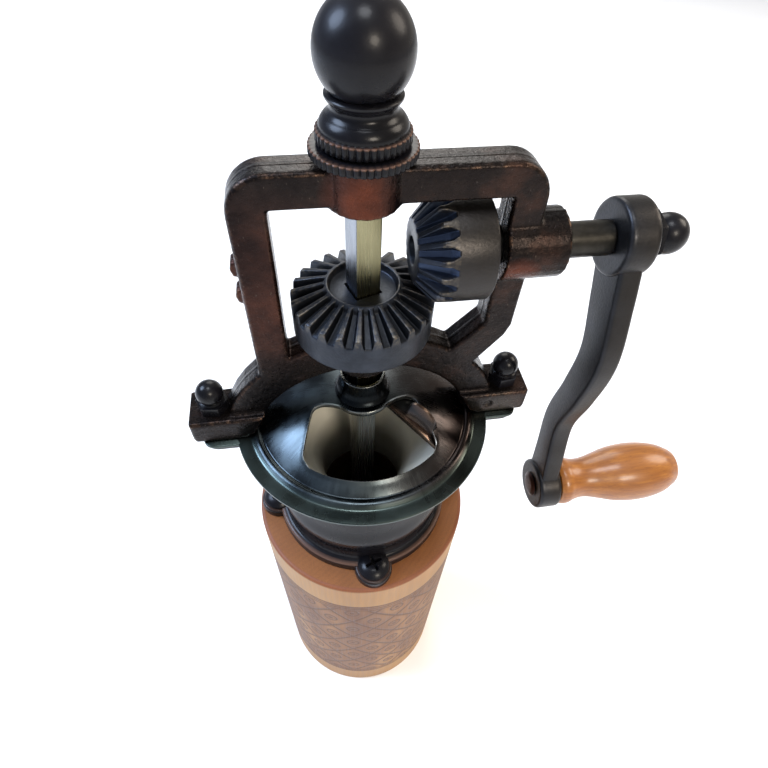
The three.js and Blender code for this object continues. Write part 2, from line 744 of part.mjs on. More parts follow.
const gearFoot = archBossTop + fitGap - crankAxisHeight;
function driveGear() {
  const floor = gearCrest(gearRingRadius) - gearRecess;
  const blank = turned([
    [0, gearFoot],
    [gearRimRadius - 0.4, gearFoot],
    [gearRimRadius, gearFoot + 0.4],
    [gearRimRadius, gearCrest(gearRimRadius)],
    [gearRingRadius + 0.3, gearCrest(gearRingRadius + 0.3)],
    [gearRingRadius, gearCrest(gearRingRadius + 0.3) - 0.1],
    [gearRingRadius - 0.3, floor],
    [0, floor],
  ], 50);
  const pitch = (2 * Math.PI) / gearTeeth;
  const depthSlope = (0.45 * gearToothDepth) / (gearRimRadius - gearGapStart);
  const place = (radius) => [
    radius,
    gearCrest(radius) - gearToothDepth + depthSlope * (gearRimRadius - radius),
    gearGapShare * pitch * radius,
  ];
  const gap = gapStretch(place(gearGapStart), place(gearRimRadius + 1), [0, 1]);
  const hole = polygon([[-1, -1], [1, -1], [1, 1], [-1, 1]].map(([x, y]) => [
    x * (shaftSide / 2 + fitGap), y * (shaftSide / 2 + fitGap)]));
  const square = raised(hole, gearFoot - 1, 0).rotate([0, 0, shaftTurn]);
  return cutTeeth(blank, gearTeeth, [gap], 0.5).subtract(square);
}
add('drive_gear', driveGear().translate([0, 0, crankZ]), blackenedSteel);

function pinionGear() {
  const seat = crankShaftRadius + runGap;
  const shoulder = pinionFaceX + 3.1;
  const blank = turnedRing([
    [seat, -pinionBackX],
    [pinionRimRadius - 0.4, -pinionBackX],
    [pinionRimRadius, -pinionBackX + 0.4],
    [pinionRimRadius, -pinionConeX],
    [pinionFaceRadius, -pinionFaceX],
    [crankBoreRadius, -pinionFaceX],
    [crankBoreRadius, -shoulder],
    [seat, -shoulder],
  ], 36);
  const pitch = (2 * Math.PI) / pinionTeeth;
  const place = (radius, x) => [radius, -x, pinionGapShare * pitch * radius];
  const deepX = gearRimRadius + 0.1;
  const deepRadius = gearCrestDrop - toothClearance;
  const faceFloor = pinionFaceRadius - 0.25;
  const fall = (deepRadius - faceFloor) / (deepX - pinionFaceX);
  const runOut = (pinionRimRadius - deepRadius) / (pinionGapX - deepX);
  const narrow = (radius, x) => [radius, -x, 0.5 * pinionGapShare * pitch * radius];
  const gaps = [
    gapStretch(place(faceFloor - fall, pinionFaceX - 1), place(deepRadius, deepX), [1, 0]),
    gapStretch(place(deepRadius, deepX), narrow(pinionRimRadius + 0.3 * runOut, pinionGapX + 0.3), [1, 0]),
  ];
  return cutTeeth(blank, pinionTeeth, gaps, 0).rotate([0, -90, 0]);
}
add('pinion_gear', pinionGear().translate([0, 0, crankZ]), blackenedSteel);

// Square drive shaft. Its round top runs in the frame's hub and carries the thread for the
// lock ring and the finial; its round foot runs in the foot's hub.
const coneTop = coneLift + coneHeight;
function driveShaft() {
  const half = shaftSide / 2;
  const square = polygon([[-half, -half], [half, -half], [half, half], [-half, half]]);
  const shoulder = lidLevel + hubUnder - fitGap;
  return raised(square, coneLift + 0.5, shoulder).rotate([0, 0, shaftTurn])
    .add(rod(journalRadius, 1.8, lidLevel + finialFoot + threadReach, 20));
}
add('drive_shaft', driveShaft(), brightSteel);

// Crank shaft, stepped down where the arm sits on it
const armOuterX = armInnerX + armThickness;
const tenonRadius = 2.4;
const crankNutFlats = 8;
const crankNutHex = 2.2;
const crankNutDome = 3.7;
function crankShaft() {
  const seat = armInnerX - bossProud;
  const shape = rodX(crankShaftRadius, pinionFaceX + 3.1 + fitGap, seat - fitGap, 28);
  return shape.add(rodX(tenonRadius, seat - 1, armOuterX + bossProud + crankNutHex + 1, 24));
}
add('crank_shaft', crankShaft().translate([0, 0, crankZ]), brightSteel);

// Crank arm, a plate drawn as it hangs down from its hub. Its centre line swings towards
// the viewer and back, like a long S; sway and width are given at even steps down the arm.
function crankArm() {
  const centreLine = new THREE.SplineCurve(armSway.map((sway, i) => new THREE.Vector2(
    sway, -(i * armReach) / (armSway.length - 1))));
  const steps = 18;
  const front = [];
  const back = [];
  for (let i = 0; i <= steps; i += 1) {
    const share = i / steps;
    const point = centreLine.getPoint(share);
    const along = centreLine.getTangent(share);
    const place = share * (armWidths.length - 1);
    const step = Math.min(Math.floor(place), armWidths.length - 2);
    const half = (armWidths[step] + (armWidths[step + 1] - armWidths[step]) * (place - step)) / 2;
    front.push([point.x + half * along.y, point.y - half * along.x]);
    back.unshift([point.x - half * along.y, point.y + half * along.x]);
  }
  const plate = raised(polygon([...front, ...back]), armInnerX, armOuterX, 0.5);
  const hub = rod(armHubRadius, armInnerX - bossProud, armOuterX + bossProud, 28);
  const boss = rod(armBossRadius, armInnerX - bossProud, armOuterX + bossProud, 26)
    .translate([0, -armReach, 0]);
  const shape = plate.add(hub).add(boss)
    .subtract(rod(tenonRadius + runGap, 0, armOuterX + 5, 16))
    .subtract(rod(handlePinRadius + runGap, 0, armOuterX + 5, 16).translate([0, -armReach, 0]));
  return shape;
}

// Turns a piece drawn along Z with its arm down -Y so that it turns about X with its arm
// down -Z, and leans the arm towards the viewer
function onCrank(shape) {
  return shape.rotate([90, 0, 90]).rotate([-armLean, 0, 0]).translate([0, 0, crankZ]);
}
add('crank_arm', onCrank(crankArm()), blackenedSteel);

function crankNut() {
  const seat = armOuterX + bossProud + fitGap;
  return capNut(seat, crankNutFlats, crankNutHex, crankNutDome, tenonRadius);
}
add('crank_nut', onCrank(crankNut()), blackEnamel);

// Handle pin: riveted in the arm's boss, with a head at the handle's far end
const handleStart = armOuterX + bossProud + fitGap;
const handleEnd = handleStart + handleLength;
function handlePin() {
  const rivet = armInnerX - bossProud;
  return turned([
    [0, rivet - 0.9],
    [0.7 * pinHeadRadius, rivet - 0.8],
    [pinHeadRadius, rivet - fitGap],
    [handlePinRadius, rivet - fitGap],
    [handlePinRadius, handleEnd - 3.4],
    [pinHeadRadius, handleEnd - 3.4],
    [pinHeadRadius, handleEnd - 1.6],
    [0, handleEnd - 1.2],
  ], 16).translate([0, -armReach, 0]);
}
add('handle_pin', onCrank(handlePin()), brightSteel);

function handle() {
  const bore = handlePinRadius + fitGap;
  const socket = pinHeadRadius + fitGap;
  const at = (share) => handleStart + share * handleLength;
  const shape = turned([
    [0, at(0)],
    [handleBeadRadius - 0.6, at(0)],
    [handleBeadRadius, at(0.035)],
    [handleBeadRadius, at(0.075)],
    [handleBeadRadius - 0.5, at(0.115)],
    [handleNeckRadius + 0.1, at(0.165)],
    [handleNeckRadius, at(0.22)],
    [handleNeckRadius + 0.35, at(0.29)],
    [0.82 * handleRadius, at(0.38)],
    [0.94 * handleRadius, at(0.49)],
    [handleRadius, at(0.63)],
    [0.97 * handleRadius, at(0.76)],
    [0.86 * handleRadius, at(0.88)],
    [0.68 * handleRadius, at(0.97)],
    [0.58 * handleRadius, at(1)],
    [0, at(1)],
  ], 24);
  return shape.subtract(rod(bore, handleStart - 1, handleEnd - 2, 16))
    .subtract(rod(socket, handleEnd - 3.4 - fitGap, handleEnd + 1, 16)).translate([0, -armReach, 0]);
}
add('handle', onCrank(handle()), honeyWood);

// Lock ring and finial, each with a ring of grip teeth
function knurled(radius, teeth, low, high) {
  const points = [];
  for (let i = 0; i < teeth; i += 1) {
    points.push(polar(radius, (i * 360) / teeth));
    points.push(polar(radius - knurlDepth, ((i + 0.5) * 360) / teeth));
  }
  return raised(polygon(points), low, high);
}

function lockRing() {
  const low = lidLevel + lockRingFoot;
  return knurled(lockRingRadius, lockRingTeeth, low, low + lockRingHeight)
    .subtract(rod(journalRadius + fitGap, low - 1, low + lockRingHeight + 1, 16));
}
add('lock_ring', lockRing(), blackEnamel);

function finial() {
  const low = lidLevel + finialFoot;
  const shoulder = low + finialFlangeHeight;
  const bell = finialFlangeRadius - 0.45;
  const ballCentre = low + finialHeight - 1.7 - finialBallRadius;
  const neck = shoulder + 2.9;
  const from = -0.25 * Math.PI;
  const ball = Array.from({ length: 7 }, (_, i) => {
    const angle = from + ((0.92 * Math.PI) / 2 - from) * (i / 6);
    return [finialBallRadius * Math.cos(angle), ballCentre + finialBallRadius * Math.sin(angle)];
  });
  const top = turned([
    [0, low + 0.5],
    [bell - 0.4, low + 0.5],
    [bell, shoulder],
    [bell - 0.05, shoulder + 0.7],
    [bell - 0.5, shoulder + 1.4],
    [finialNeckRadius + 0.55, shoulder + 2.1],
    [finialNeckRadius, neck],
    [finialNeckRadius + 0.6, neck + 1.1],
    [finialNeckRadius + 0.6, ballCentre - 0.74 * finialBallRadius],
    ...ball,
    [1.4, low + finialHeight - 0.7],
    [0, low + finialHeight],
  ], 24);
  return knurled(finialFlangeRadius, finialTeeth, low, shoulder).add(top)
    .subtract(rod(journalRadius + fitGap, low - 1, low + threadReach + fitGap, 16));
}
add('finial', finial(), blackEnamel);

// A ring of pointed teeth between two radii, twisted as it rises, closed at both ends
function toothedCone(levels, teeth, depth, twist) {
  const sides = 2 * teeth;
  const corners = [];
  levels.forEach(([radius, height], level) => {
    for (let i = 0; i < sides; i += 1) {
      const angle = (i * 360) / sides + (twist * level) / (levels.length - 1);
      const [x, y] = polar(radius - (i % 2) * depth, angle);
      corners.push(x, y, height);
    }
  });
  const low = corners.length / 3;
  corners.push(0, 0, levels[0][1]);
  corners.push(0, 0, levels[levels.length - 1][1]);
  const faces = [];
  for (let i = 0; i < sides; i += 1) {
    const next = (i + 1) % sides;
    for (let level = 0; level + 1 < levels.length; level += 1) {
      const here = level * sides;
      faces.push(here + i, here + next, here + sides + next);
      faces.push(here + i, here + sides + next, here + sides + i);
    }
    const top = (levels.length - 1) * sides;
    faces.push(low, next, i);
    faces.push(low + 1, top + i, top + next);
  }
  const geometry = new THREE.BufferGeometry();
  geometry.setAttribute('position', new THREE.Float32BufferAttribute(corners, 3));
  geometry.setIndex(faces);
  return solid(geometry);
}

// Burr ring, in the body's pocket over the foot
function burrRing() {
  const low = footHeight + fitGap;
  const high = low + burrHeight - fitGap;
  const inside = toothedCone([
    [burrThroatRadius, low - 1],
    [burrThroatRadius + 0.5, low + 0.4 * burrHeight],
    [burrMouthRadius, high + 1],
  ], burrTeeth, -0.7, 16);
  return rod(burrRadius, low, high, 36).subtract(inside);
}
add('burr_ring', burrRing(), burrSteel);

// Burr cone on the square of the drive shaft, with room for the spring under it
const springTop = coneLift + 0.45 * coneHeight;
const springRadius = journalRadius + fitGap + 1.2;
function burrCone() {
  const hole = polygon([[-1, -1], [1, -1], [1, 1], [-1, 1]].map(([x, y]) => [
    x * (shaftSide / 2 + fitGap), y * (shaftSide / 2 + fitGap)]));
  return toothedCone([
    [coneFootRadius - 0.9, coneLift],
    [coneFootRadius, coneLift + 0.2 * coneHeight],
    [coneTopRadius, coneTop],
  ], burrTeeth, 0.7, -22)
    .subtract(raised(hole, coneLift - 1, coneTop + 1).rotate([0, 0, shaftTurn]))
    .subtract(rod(springRadius + springWire, coneLift - 1, springTop + fitGap, 24));
}
add('burr_cone', burrCone(), burrSteel);

// Spring between the foot's hub and the cone
function burrSpring() {
  const low = footHubHeight + fitGap + springWire / 2;
  const high = springTop - springWire / 2;
  const perTurn = 10;
  const sides = 5;
  const count = springTurns * perTurn;
  const corners = [];
  for (let i = 0; i <= count; i += 1) {
    const angle = (2 * Math.PI * i) / perTurn;
    const height = low + ((high - low) * i) / count;
    for (let k = 0; k < sides; k += 1) {
      const roll = (2 * Math.PI * k) / sides;
      const reach = springRadius + (springWire / 2) * Math.cos(roll);
      corners.push(reach * Math.cos(angle), reach * Math.sin(angle),
        height + (springWire / 2) * Math.sin(roll));
    }
  }
  const faces = [];
  for (let i = 0; i < count; i += 1) {
    for (let k = 0; k < sides; k += 1) {
      const [p, q] = [i * sides + k, i * sides + ((k + 1) % sides)];
      faces.push(p, q, q + sides, p, q + sides, p + sides);
    }
  }
  for (let k = 1; k + 1 < sides; k += 1) {
    const end = count * sides;
    faces.push(0, k + 1, k, end, end + k, end + k + 1);
  }
  const geometry = new THREE.BufferGeometry();
  geometry.setAttribute('position', new THREE.Float32BufferAttribute(corners, 3));
  geometry.setIndex(faces);
  return solid(geometry);
}
add('burr_spring', burrSpring(), springSteel);

// Foot: a ring with three spokes and a hub whose blind bore holds the shaft's lower end
function footRing() {
  const openRadius = burrThroatRadius + 0.6;
  const openings = [];
  for (let i = 0; i < 3; i += 1) {
    const from = 90 + 120 * i;
    const outer = Math.asin(spokeWidth / 2 / openRadius) / radians;
    const inner = Math.asin(spokeWidth / 2 / footHubRadius) / radians;
    const window = new THREE.Shape();
    window.absarc(0, 0, openRadius, (from + outer) * radians, (from + 120 - outer) * radians, false);
    window.absarc(0, 0, footHubRadius, (from + 120 - inner) * radians, (from + inner) * radians, true);
    openings.push(raised(window, -1, footHeight + 1, 0, 6));
  }
  let shape = rod(footRadius, 0, footHeight, 36);
  for (const window of openings) {
    shape = shape.subtract(window);
  }
  shape = shape.add(rod(footHubRadius, 0, footHubHeight, 24))
    .subtract(rod(journalRadius + runGap, 1.5, footHubHeight + 1, 20));
  for (let i = 0; i < 3; i += 1) {
    const [x, y] = polar(footScrewCircle, 90 + 120 * i);
    const sink = turned([
      [0, -0.01],
      [footScrewHead + fitGap, -0.01],
      [footScrewRadius + screwGap, 1.5],
      [footScrewRadius + screwGap, footHeight + 1],
      [0, footHeight + 1],
    ], 12);
    shape = shape.subtract(sink.translate([x, y, 0]));
  }
  return shape;
}
add('foot_spider', footRing(), bareZinc);

for (let i = 0; i < 3; i += 1) {
  const [x, y] = polar(footScrewCircle, 90 + 120 * i);
  const screw = turned([
    [0, 0.2],
    [footScrewHead, 0.2],
    [footScrewRadius, 1.4],
    [footScrewRadius, footScrewLength - 2.5],
    [0, footScrewLength],
  ], 12);
  const slot = polygon([[-2, -0.3], [2, -0.3], [2, 0.3], [-2, 0.3]]);
  const cross = raised(slot, -1, 0.8);
  const shape = screw.subtract(cross).subtract(cross.rotate([0, 0, 90]));
  add(`foot_screw_${i + 1}`, shape.rotate([0, 0, 25 * i]).translate([x, y, 0]), bareZinc);
}

export default group;
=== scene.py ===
import bmesh
import bpy
import numpy as np
from mathutils import Matrix


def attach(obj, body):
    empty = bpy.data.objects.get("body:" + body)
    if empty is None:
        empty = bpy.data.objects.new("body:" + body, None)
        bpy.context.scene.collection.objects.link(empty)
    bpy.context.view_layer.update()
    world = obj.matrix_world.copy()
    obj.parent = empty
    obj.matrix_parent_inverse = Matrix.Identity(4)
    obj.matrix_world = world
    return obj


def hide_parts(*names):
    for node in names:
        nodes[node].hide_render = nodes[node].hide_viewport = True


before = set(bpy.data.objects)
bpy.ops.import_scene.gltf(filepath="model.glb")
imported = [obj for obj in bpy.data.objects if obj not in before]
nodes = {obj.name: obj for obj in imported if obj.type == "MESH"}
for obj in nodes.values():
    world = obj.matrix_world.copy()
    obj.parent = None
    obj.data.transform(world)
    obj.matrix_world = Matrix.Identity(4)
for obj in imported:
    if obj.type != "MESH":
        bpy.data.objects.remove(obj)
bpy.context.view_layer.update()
print("frame loaded:", len(nodes), "nodes")

# All sizes are millimetres; the meshes are written in metres. Z is up from the table,
# azimuths are degrees from +X towards +Y, and the fill opening faces -Y.
mm = 0.001
lidLevel = 137.7      # underside of the lid's brim
crankLevel = 180.9    # axis of the crank


# Makes an object and links it to the scene
def placed(name, data):
    thing = bpy.data.objects.new(name, data)
    bpy.context.scene.collection.objects.link(thing)
    return thing


# The matrix of an object with its own X, Y and Z along three directions, at a place in metres
def standing(right, up, back, place):
    matrix = np.eye(4)
    matrix[:3, :3] = np.stack([right, up, back], axis=1)
    matrix[:3, 3] = place
    return Matrix(matrix.tolist())


# Camera, where the photograph was taken from
view = {
    "position": (-9.698, -71.771, 234.412),
    "down": 50.2,         # degrees below level
    "turn": 11.33,        # degrees from +Y towards +X
    "roll": 3.1,
    "focalPixels": 529.558,
    "imagePixels": 768,
    "sensorWidth": 36,
    "nearest": 5.0,
}


def makeCamera():
    down, turn, roll = np.radians([view["down"], view["turn"], view["roll"]])
    ahead = np.array([np.sin(turn) * np.cos(down), np.cos(turn) * np.cos(down), -np.sin(down)])
    level = np.array([np.cos(turn), -np.sin(turn), 0.0])
    upright = np.cross(level, ahead)
    right = np.cos(roll) * level + np.sin(roll) * upright
    up = np.cos(roll) * upright - np.sin(roll) * level
    data = bpy.data.cameras.new("photoCamera")
    data.sensor_width = view["sensorWidth"]
    data.sensor_fit = "HORIZONTAL"
    data.lens = view["focalPixels"] * view["sensorWidth"] / view["imagePixels"]
    data.clip_start = view["nearest"] * mm
    camera = placed("photoCamera", data)
    camera.matrix_world = standing(right, up, -ahead, np.array(view["position"]) * mm)
    bpy.context.scene.camera = camera


makeCamera()
print("camera set")


# ---- materials

# An sRGB hex colour as the linear values that Blender's sockets take
def linear(hexColour):
    srgb = np.array([int(hexColour[i:i + 2], 16) for i in (1, 3, 5)]) / 255
    value = np.where(srgb <= 0.04045, srgb / 12.92, ((srgb + 0.055) / 1.055) ** 2.4)
    return (*value.tolist(), 1.0)


# What a node puts out. A sign between two values, or a value and a number, adds a maths node.
class Value:
    def __init__(self, tree, socket):
        self.tree = tree
        self.socket = socket

    def __add__(self, other):
        return self.tree.maths("ADD", self, other)

    def __sub__(self, other):
        return self.tree.maths("SUBTRACT", self, other)

    def __rsub__(self, other):
        return self.tree.maths("SUBTRACT", other, self)

    def __mul__(self, other):
        return self.tree.maths("MULTIPLY", self, other)

    def __truediv__(self, other):
        return self.tree.maths("DIVIDE", self, other)

    def __abs__(self):
        return self.tree.maths("ABSOLUTE", self)


# A node tree that is emptied and then filled node by node
class Tree:
    def __init__(self, tree):
        self.tree = tree
        tree.nodes.clear()

    # Each input is the value of another node, which is linked, or a plain one
    def fill(self, node, inputs):
        for key, value in inputs.items():
            if isinstance(value, Value):
                self.tree.links.new(value.socket, node.inputs[key])
            else:
                node.inputs[key].default_value = value

    # Adds a node; settings are its own properties
    def node(self, kind, inputs=None, **settings):
        node = self.tree.nodes.new(kind)
        for key, value in settings.items():
            setattr(node, key, value)
        self.fill(node, inputs or {})
        return node

    # Adds a node and gives back one of its outputs
    def add(self, kind, output, inputs=None, **settings):
        return Value(self, self.node(kind, inputs, **settings).outputs[output])

    def maths(self, operation, *values):
        return self.add("ShaderNodeMath", 0, dict(enumerate(values)), operation=operation)

    # Mixes two colours, either of which may be a hex one
    def mixed(self, factor, first, second, blend="MIX"):
        first, second = (linear(c) if isinstance(c, str) else c for c in (first, second))
        return self.add("ShaderNodeMix", 2, {0: factor, 6: first, 7: second},
                        data_type="RGBA", blend_type=blend)

    # A colour ramp; its stops are (place, hex colour or grey value)
    def between(self, source, *stops):
        ramp = self.node("ShaderNodeValToRGB", {"Fac": source})
        elements = ramp.color_ramp.elements
        while len(elements) > 1:
            elements.remove(elements[-1])
        for i, (place, value) in enumerate(stops):
            stop = elements[0] if i == 0 else elements.new(place)
            stop.position = place
            stop.color = linear(value) if isinstance(value, str) else (value, value, value, 1)
        return Value(self, ramp.outputs["Color"])

    # From one value to another over the middle of a noise's range
    def graded(self, noise, first, last):
        return self.between(noise, (0.3, first), (0.7, last))


# A material's tree: its shader, its output and the piece's own coordinates in metres
class Look(Tree):
    def __init__(self, name):
        self.material = bpy.data.materials.new(name)
        self.material.use_nodes = True
        super().__init__(self.material.node_tree)
        self.shader = self.node("ShaderNodeBsdfPrincipled")
        self.node("ShaderNodeOutputMaterial", {"Surface": Value(self, self.shader.outputs["BSDF"])})
        self.place = self.add("ShaderNodeTexCoord", "Object")

    def noise(self, place, detail, rough):
        return self.add("ShaderNodeTexNoise", "Fac", {
            "Vector": place, "Scale": 1.0, "Detail": detail, "Roughness": rough})

    # Noise whose grains are about size mm wide along each axis
    def grain(self, size, detail=2.0, rough=0.5):
        spread = (size,) * 3 if np.isscalar(size) else size
        scale = tuple(1 / (s * mm) for s in spread)
        mapped = self.add("ShaderNodeMapping", "Vector", {"Vector": self.place, "Scale": scale})
        return self.noise(mapped, detail, rough)

    # One coordinate in mm
    def axis(self, name):
        return self.add("ShaderNodeSeparateXYZ", name, {"Vector": self.place}) / mm

    # Distance from the Z axis in mm
    def radius(self):
        x, y = self.axis("X"), self.axis("Y")
        return self.maths("SQRT", x * x + y * y)

    # Angle round the Z axis in radians
    def turn(self):
        return self.maths("ARCTAN2", self.axis("Y"), self.axis("X"))

    # A vertex attribute, 0 to 1, such as how rubbed each spot is
    def mark(self, word):
        return self.add("ShaderNodeAttribute", "Fac", attribute_name=word)

    # 1 at a spot given in mm, falling to 0 at the reach
    def near(self, spot, reach):
        far = self.add("ShaderNodeVectorMath", "Value", {0: self.place, 1: tuple(v * mm for v in spot)},
                       operation="DISTANCE")
        return self.between(far / (reach * mm), (0.35, 1.0), (1.0, 0.0))

    # Fills the shader's sockets, with a bump as deep in mm as given where the height is 1
    def finished(self, height, depth, inputs):
        bump = self.add("ShaderNodeBump", "Normal", {
            "Height": height, "Distance": depth * mm, "Strength": 1.0})
        self.fill(self.shader, {**inputs, "Normal": bump})
        return self.material


# Black nickel plate on pressed sheet: near-black mirror with fine radial brushing, hazed by
# handling, with a painted warm reflection towards the crank, a painted lighter grey-green
# reflection on the brim outside the bead, where the brushing is more even, painted shade where
# a piece marks it, and a given edge colour: the metal's own tint where an edge is rubbed
# through, and a painted pale highlight along the lid's opening and the neck's rim
plateLook = {"brimStart": 24.2, "warmEnd": 28.0, "streaksPerRadian": 26.0, "streakLength": 7.0}


def blackNickelPlate(name, edgeColour):
    look = Look(name)
    p = plateLook
    radius = look.radius()
    fan = look.add("ShaderNodeCombineXYZ", "Vector", {
        "X": look.turn() * p["streaksPerRadian"], "Y": radius / p["streakLength"]})
    brushing = look.noise(fan, 3.0, 0.6)
    haze = look.grain(8, 3)
    specks = look.between(look.grain(0.3, 1), (0.70, 0.0), (0.76, 1.0))
    warmReflection = look.between(look.axis("X") / p["warmEnd"], (0.0, 0.0), (0.7, 0.7))
    brim = look.between(radius - p["brimStart"], (0.0, 0.0), (0.8, 0.8))
    colour = look.between(haze, (0.35, "#2b3033"), (0.65, "#454d50"))
    # painted warm reflection: the plate turns browner towards the crank's side, +X
    colour = look.mixed(warmReflection, colour, "#453833")
    # painted reflection: the brim outside the bead is lighter and greener
    colour = look.mixed(brim, colour, "#434d49")
    colour = look.mixed(specks * 0.5, colour, "#0e0f10")
    # painted shade: near black where a piece marks the sheet as shaded
    colour = look.mixed(look.mark("shadeAndTone") * 0.85, colour, "#0b0c0e")
    # the edge colour where marked: rubbed-through metal on the shutter, and a painted pale highlight along
    # the lid's opening and the neck's rim
    colour = look.mixed(look.mark("wearAndPaintedLight"), colour, edgeColour)
    brushing = look.mixed(brim, brushing, (0.5, 0.5, 0.5, 1.0))
    streaked = brushing * 0.35 + haze * 0.65
    return look.finished(brushing * 0.12 + look.grain(5.0, 2), 0.03, {
        "Base Color": colour, "Roughness": look.between(streaked, (0.35, 0.16), (0.65, 0.38)),
        "Metallic": 1.0})


# Stoved black enamel on castings and small screws: smooth, glossy, rounded highlights
def blackEnamel():
    look = Look("blackEnamel")
    patch = look.grain(6, 3)
    colour = look.graded(patch, "#0b0b0e", "#141317")
    # coppery brown where marked: wear on the knurls' top edges, and a painted highlight along the collar's
    # foot flange
    colour = look.mixed(look.mark("wearAndPaintedLight"), colour, "#745748")
    return look.finished(look.grain(0.8, 3), 0.015, {
        "Base Color": colour, "Roughness": look.graded(patch, 0.22, 0.36),
        "Specular IOR Level": 0.16, "Coat Weight": 0.07, "Coat Roughness": 0.12})


# Antique bronze wash on a sand-rough casting: brown-black, coppery in a few handled spots, with a
# painted satin sheen, a lighter grey-brown, on the right lug, and thin broken pale lines where an
# edge is chipped. Spots are (place, reach, strength), on the hub's front, under the bearing boss
# and along the left leg.
castingLook = {
    "copper": [
        ((-1.0, -6.0, 193.0), 7.0, 0.55),
        ((25.0, -8.0, 177.6), 5.4, 0.9),
        ((-17.5, -3.0, 176.0), 20.0, 0.18),
    ],
    "paintedLugSheen": ((31.0, -5.0, 139.0), 7.0, 0.55),
}


def antiqueBronzeCasting():
    look = Look("antiqueBronzeCasting")
    patch = look.grain(9, 4, 0.6)
    fine = look.grain(0.55, 4, 0.65)
    colour = look.between(patch, (0.35, "#151212"), (0.55, "#231d1b"), (0.72, "#382822"))
    for spot, reach, strength in castingLook["copper"]:
        uneven = look.between(patch, (0.35, 0.3 * strength), (0.6, strength))
        colour = look.mixed(look.near(spot, reach) * uneven, colour, "#6f3824")
    # painted sheen: the right lug is lighter grey-brown
    spot, reach, strength = castingLook["paintedLugSheen"]
    colour = look.mixed(look.near(spot, reach) * strength, colour, "#4b4540")
    edge = look.between(look.add("ShaderNodeNewGeometry", "Pointiness"), (0.515, 0.0), (0.56, 1.0))
    broken = look.between(look.grain(1.3, 3, 0.6), (0.46, 0.0), (0.58, 1.0))
    colour = look.mixed(edge * broken * 0.55, colour, "#8d6c55")
    scratches = look.between(look.grain((0.35, 0.35, 1.1), 4, 0.7), (0.66, 0.0), (0.74, 1.0))
    colour = look.mixed(scratches * 0.4, colour, "#857b70")
    # the mould's parting line runs round the rim faces as a low ridge at the middle of the depth
    ridge = look.between(abs(look.axis("Y")), (0.15, 0.5), (0.5, 0.0))
    return look.finished(fine * 0.45 + look.grain(1.6, 3, 0.6) + ridge, 0.16, {
        "Base Color": colour, "Roughness": look.graded(fine, 0.22, 0.38),
        "Metallic": 0.85, "Specular IOR Level": 0.3})


# Phosphated steel of the gears and the arm: blue-black satin, darker where marked (the drive
# gear's gap floors, and a little over the whole arm), a painted lighter blue reflection in the
# pinion's gaps between teeth, brown-grey where the rim was turned, and broken golden grey where
# teeth meet
def phosphatedSteel():
    look = Look("phosphatedSteel")
    fine = look.grain(0.45, 3)
    broken = look.between(look.grain(0.8, 3, 0.6), (0.42, 0.05), (0.64, 1.0))
    colour = look.graded(look.grain(5, 4, 0.6), "#22252a", "#363a42")
    # darker where marked, a painted lighter blue reflection in the pinion's gaps, and brown-grey on turned
    # rims
    for word, share, tint in (("shadeAndTone", 0.8, "#121417"), ("paintedGapReflection", 0.75, "#37445c"), ("rim", 0.75, "#37332f")):
        colour = look.mixed(look.mark(word) * share, colour, tint)
    colour = look.mixed(look.mark("wearAndPaintedLight") * broken, colour, "#6f675a")
    return look.finished(fine, 0.03, {
        "Base Color": colour, "Roughness": look.graded(fine, 0.32, 0.44), "Metallic": 0.85})


# Cold drawn bar with fine lines along its length: grey, with painted olive light on the face
# towards the light, and a painted pale reflection inside the hopper
def drawnSteelBar():
    look = Look("drawnSteelBar")
    lines = look.grain((0.3, 0.3, 40), 3)
    stain = look.grain((4, 4, 12), 3)
    colour = look.graded(stain, "#6f747a", "#8b9098")
    olive = look.graded(stain, "#716c52", "#8e8a6c")
    # painted light: olive on the face towards the light
    colour = look.mixed(look.mark("wearAndPaintedLight"), colour, olive)
    # painted reflection: pale below the lid, inside the hopper
    colour = look.mixed(look.mark("rim"), colour, "#c6c6bf")
    return look.finished(lines, 0.006, {
        "Base Color": colour, "Roughness": look.graded(lines, 0.22, 0.32), "Metallic": 1.0})


# Inside the hopper and the body's bore, painted shade darkens whatever lies within this radius
paintedShadeReach = 20.0


# Spun tinned sheet of the hopper: pale cream, satin, with painted shade darkening the throat
def spunTinnedSheet():
    look = Look("spunTinnedSheet")
    rings = look.grain((40, 40, 0.5), 2)
    # painted shade down the throat
    throat = look.between(look.radius() / paintedShadeReach, (0.50, 1.0), (0.62, 0.0))
    colour = look.graded(look.grain(8, 3), "#dcd7c6", "#e8e4d6")
    colour = look.mixed(throat * 0.75, colour, "#4a4338")
    return look.finished(rings, 0.015, {
        "Base Color": colour, "Roughness": look.graded(rings, 0.42, 0.56), "Metallic": 0.1})


# Zinc plated steel of the foot and its screws, bare burr iron, the oiled shaft of the crank
# and the browned rivet
def plainMetal(name, dark, light, roughness):
    look = Look(name)
    shine = look.graded(look.grain(0.6, 3), roughness - 0.08, roughness + 0.08)
    return look.finished(look.grain(0.8, 3), 0.03, {
        "Base Color": look.graded(look.grain(4, 4, 0.6), dark, light),
        "Roughness": shine, "Metallic": 0.95})


# Turned and oiled hardwood. Growth rings about 1.3 mm apart stand round a pith outside the
# body, so the top shows arcs and the sides show lines. The engraved zone is browner.
woodLook = {
    "pith": (-46, 34), "ringSpacing": 1.3,
    "bandTop": 99.3, "bandFoot": 88.2, "lowBand": 11.8, "rimStart": 26.6,
    "columns": 14, "rowHeight": 15.0, "grooves": 3, "grooveSpacing": 1.3,
    "waveSpacing": 0.314,    # between the rings of a wave texture, times its scale
}


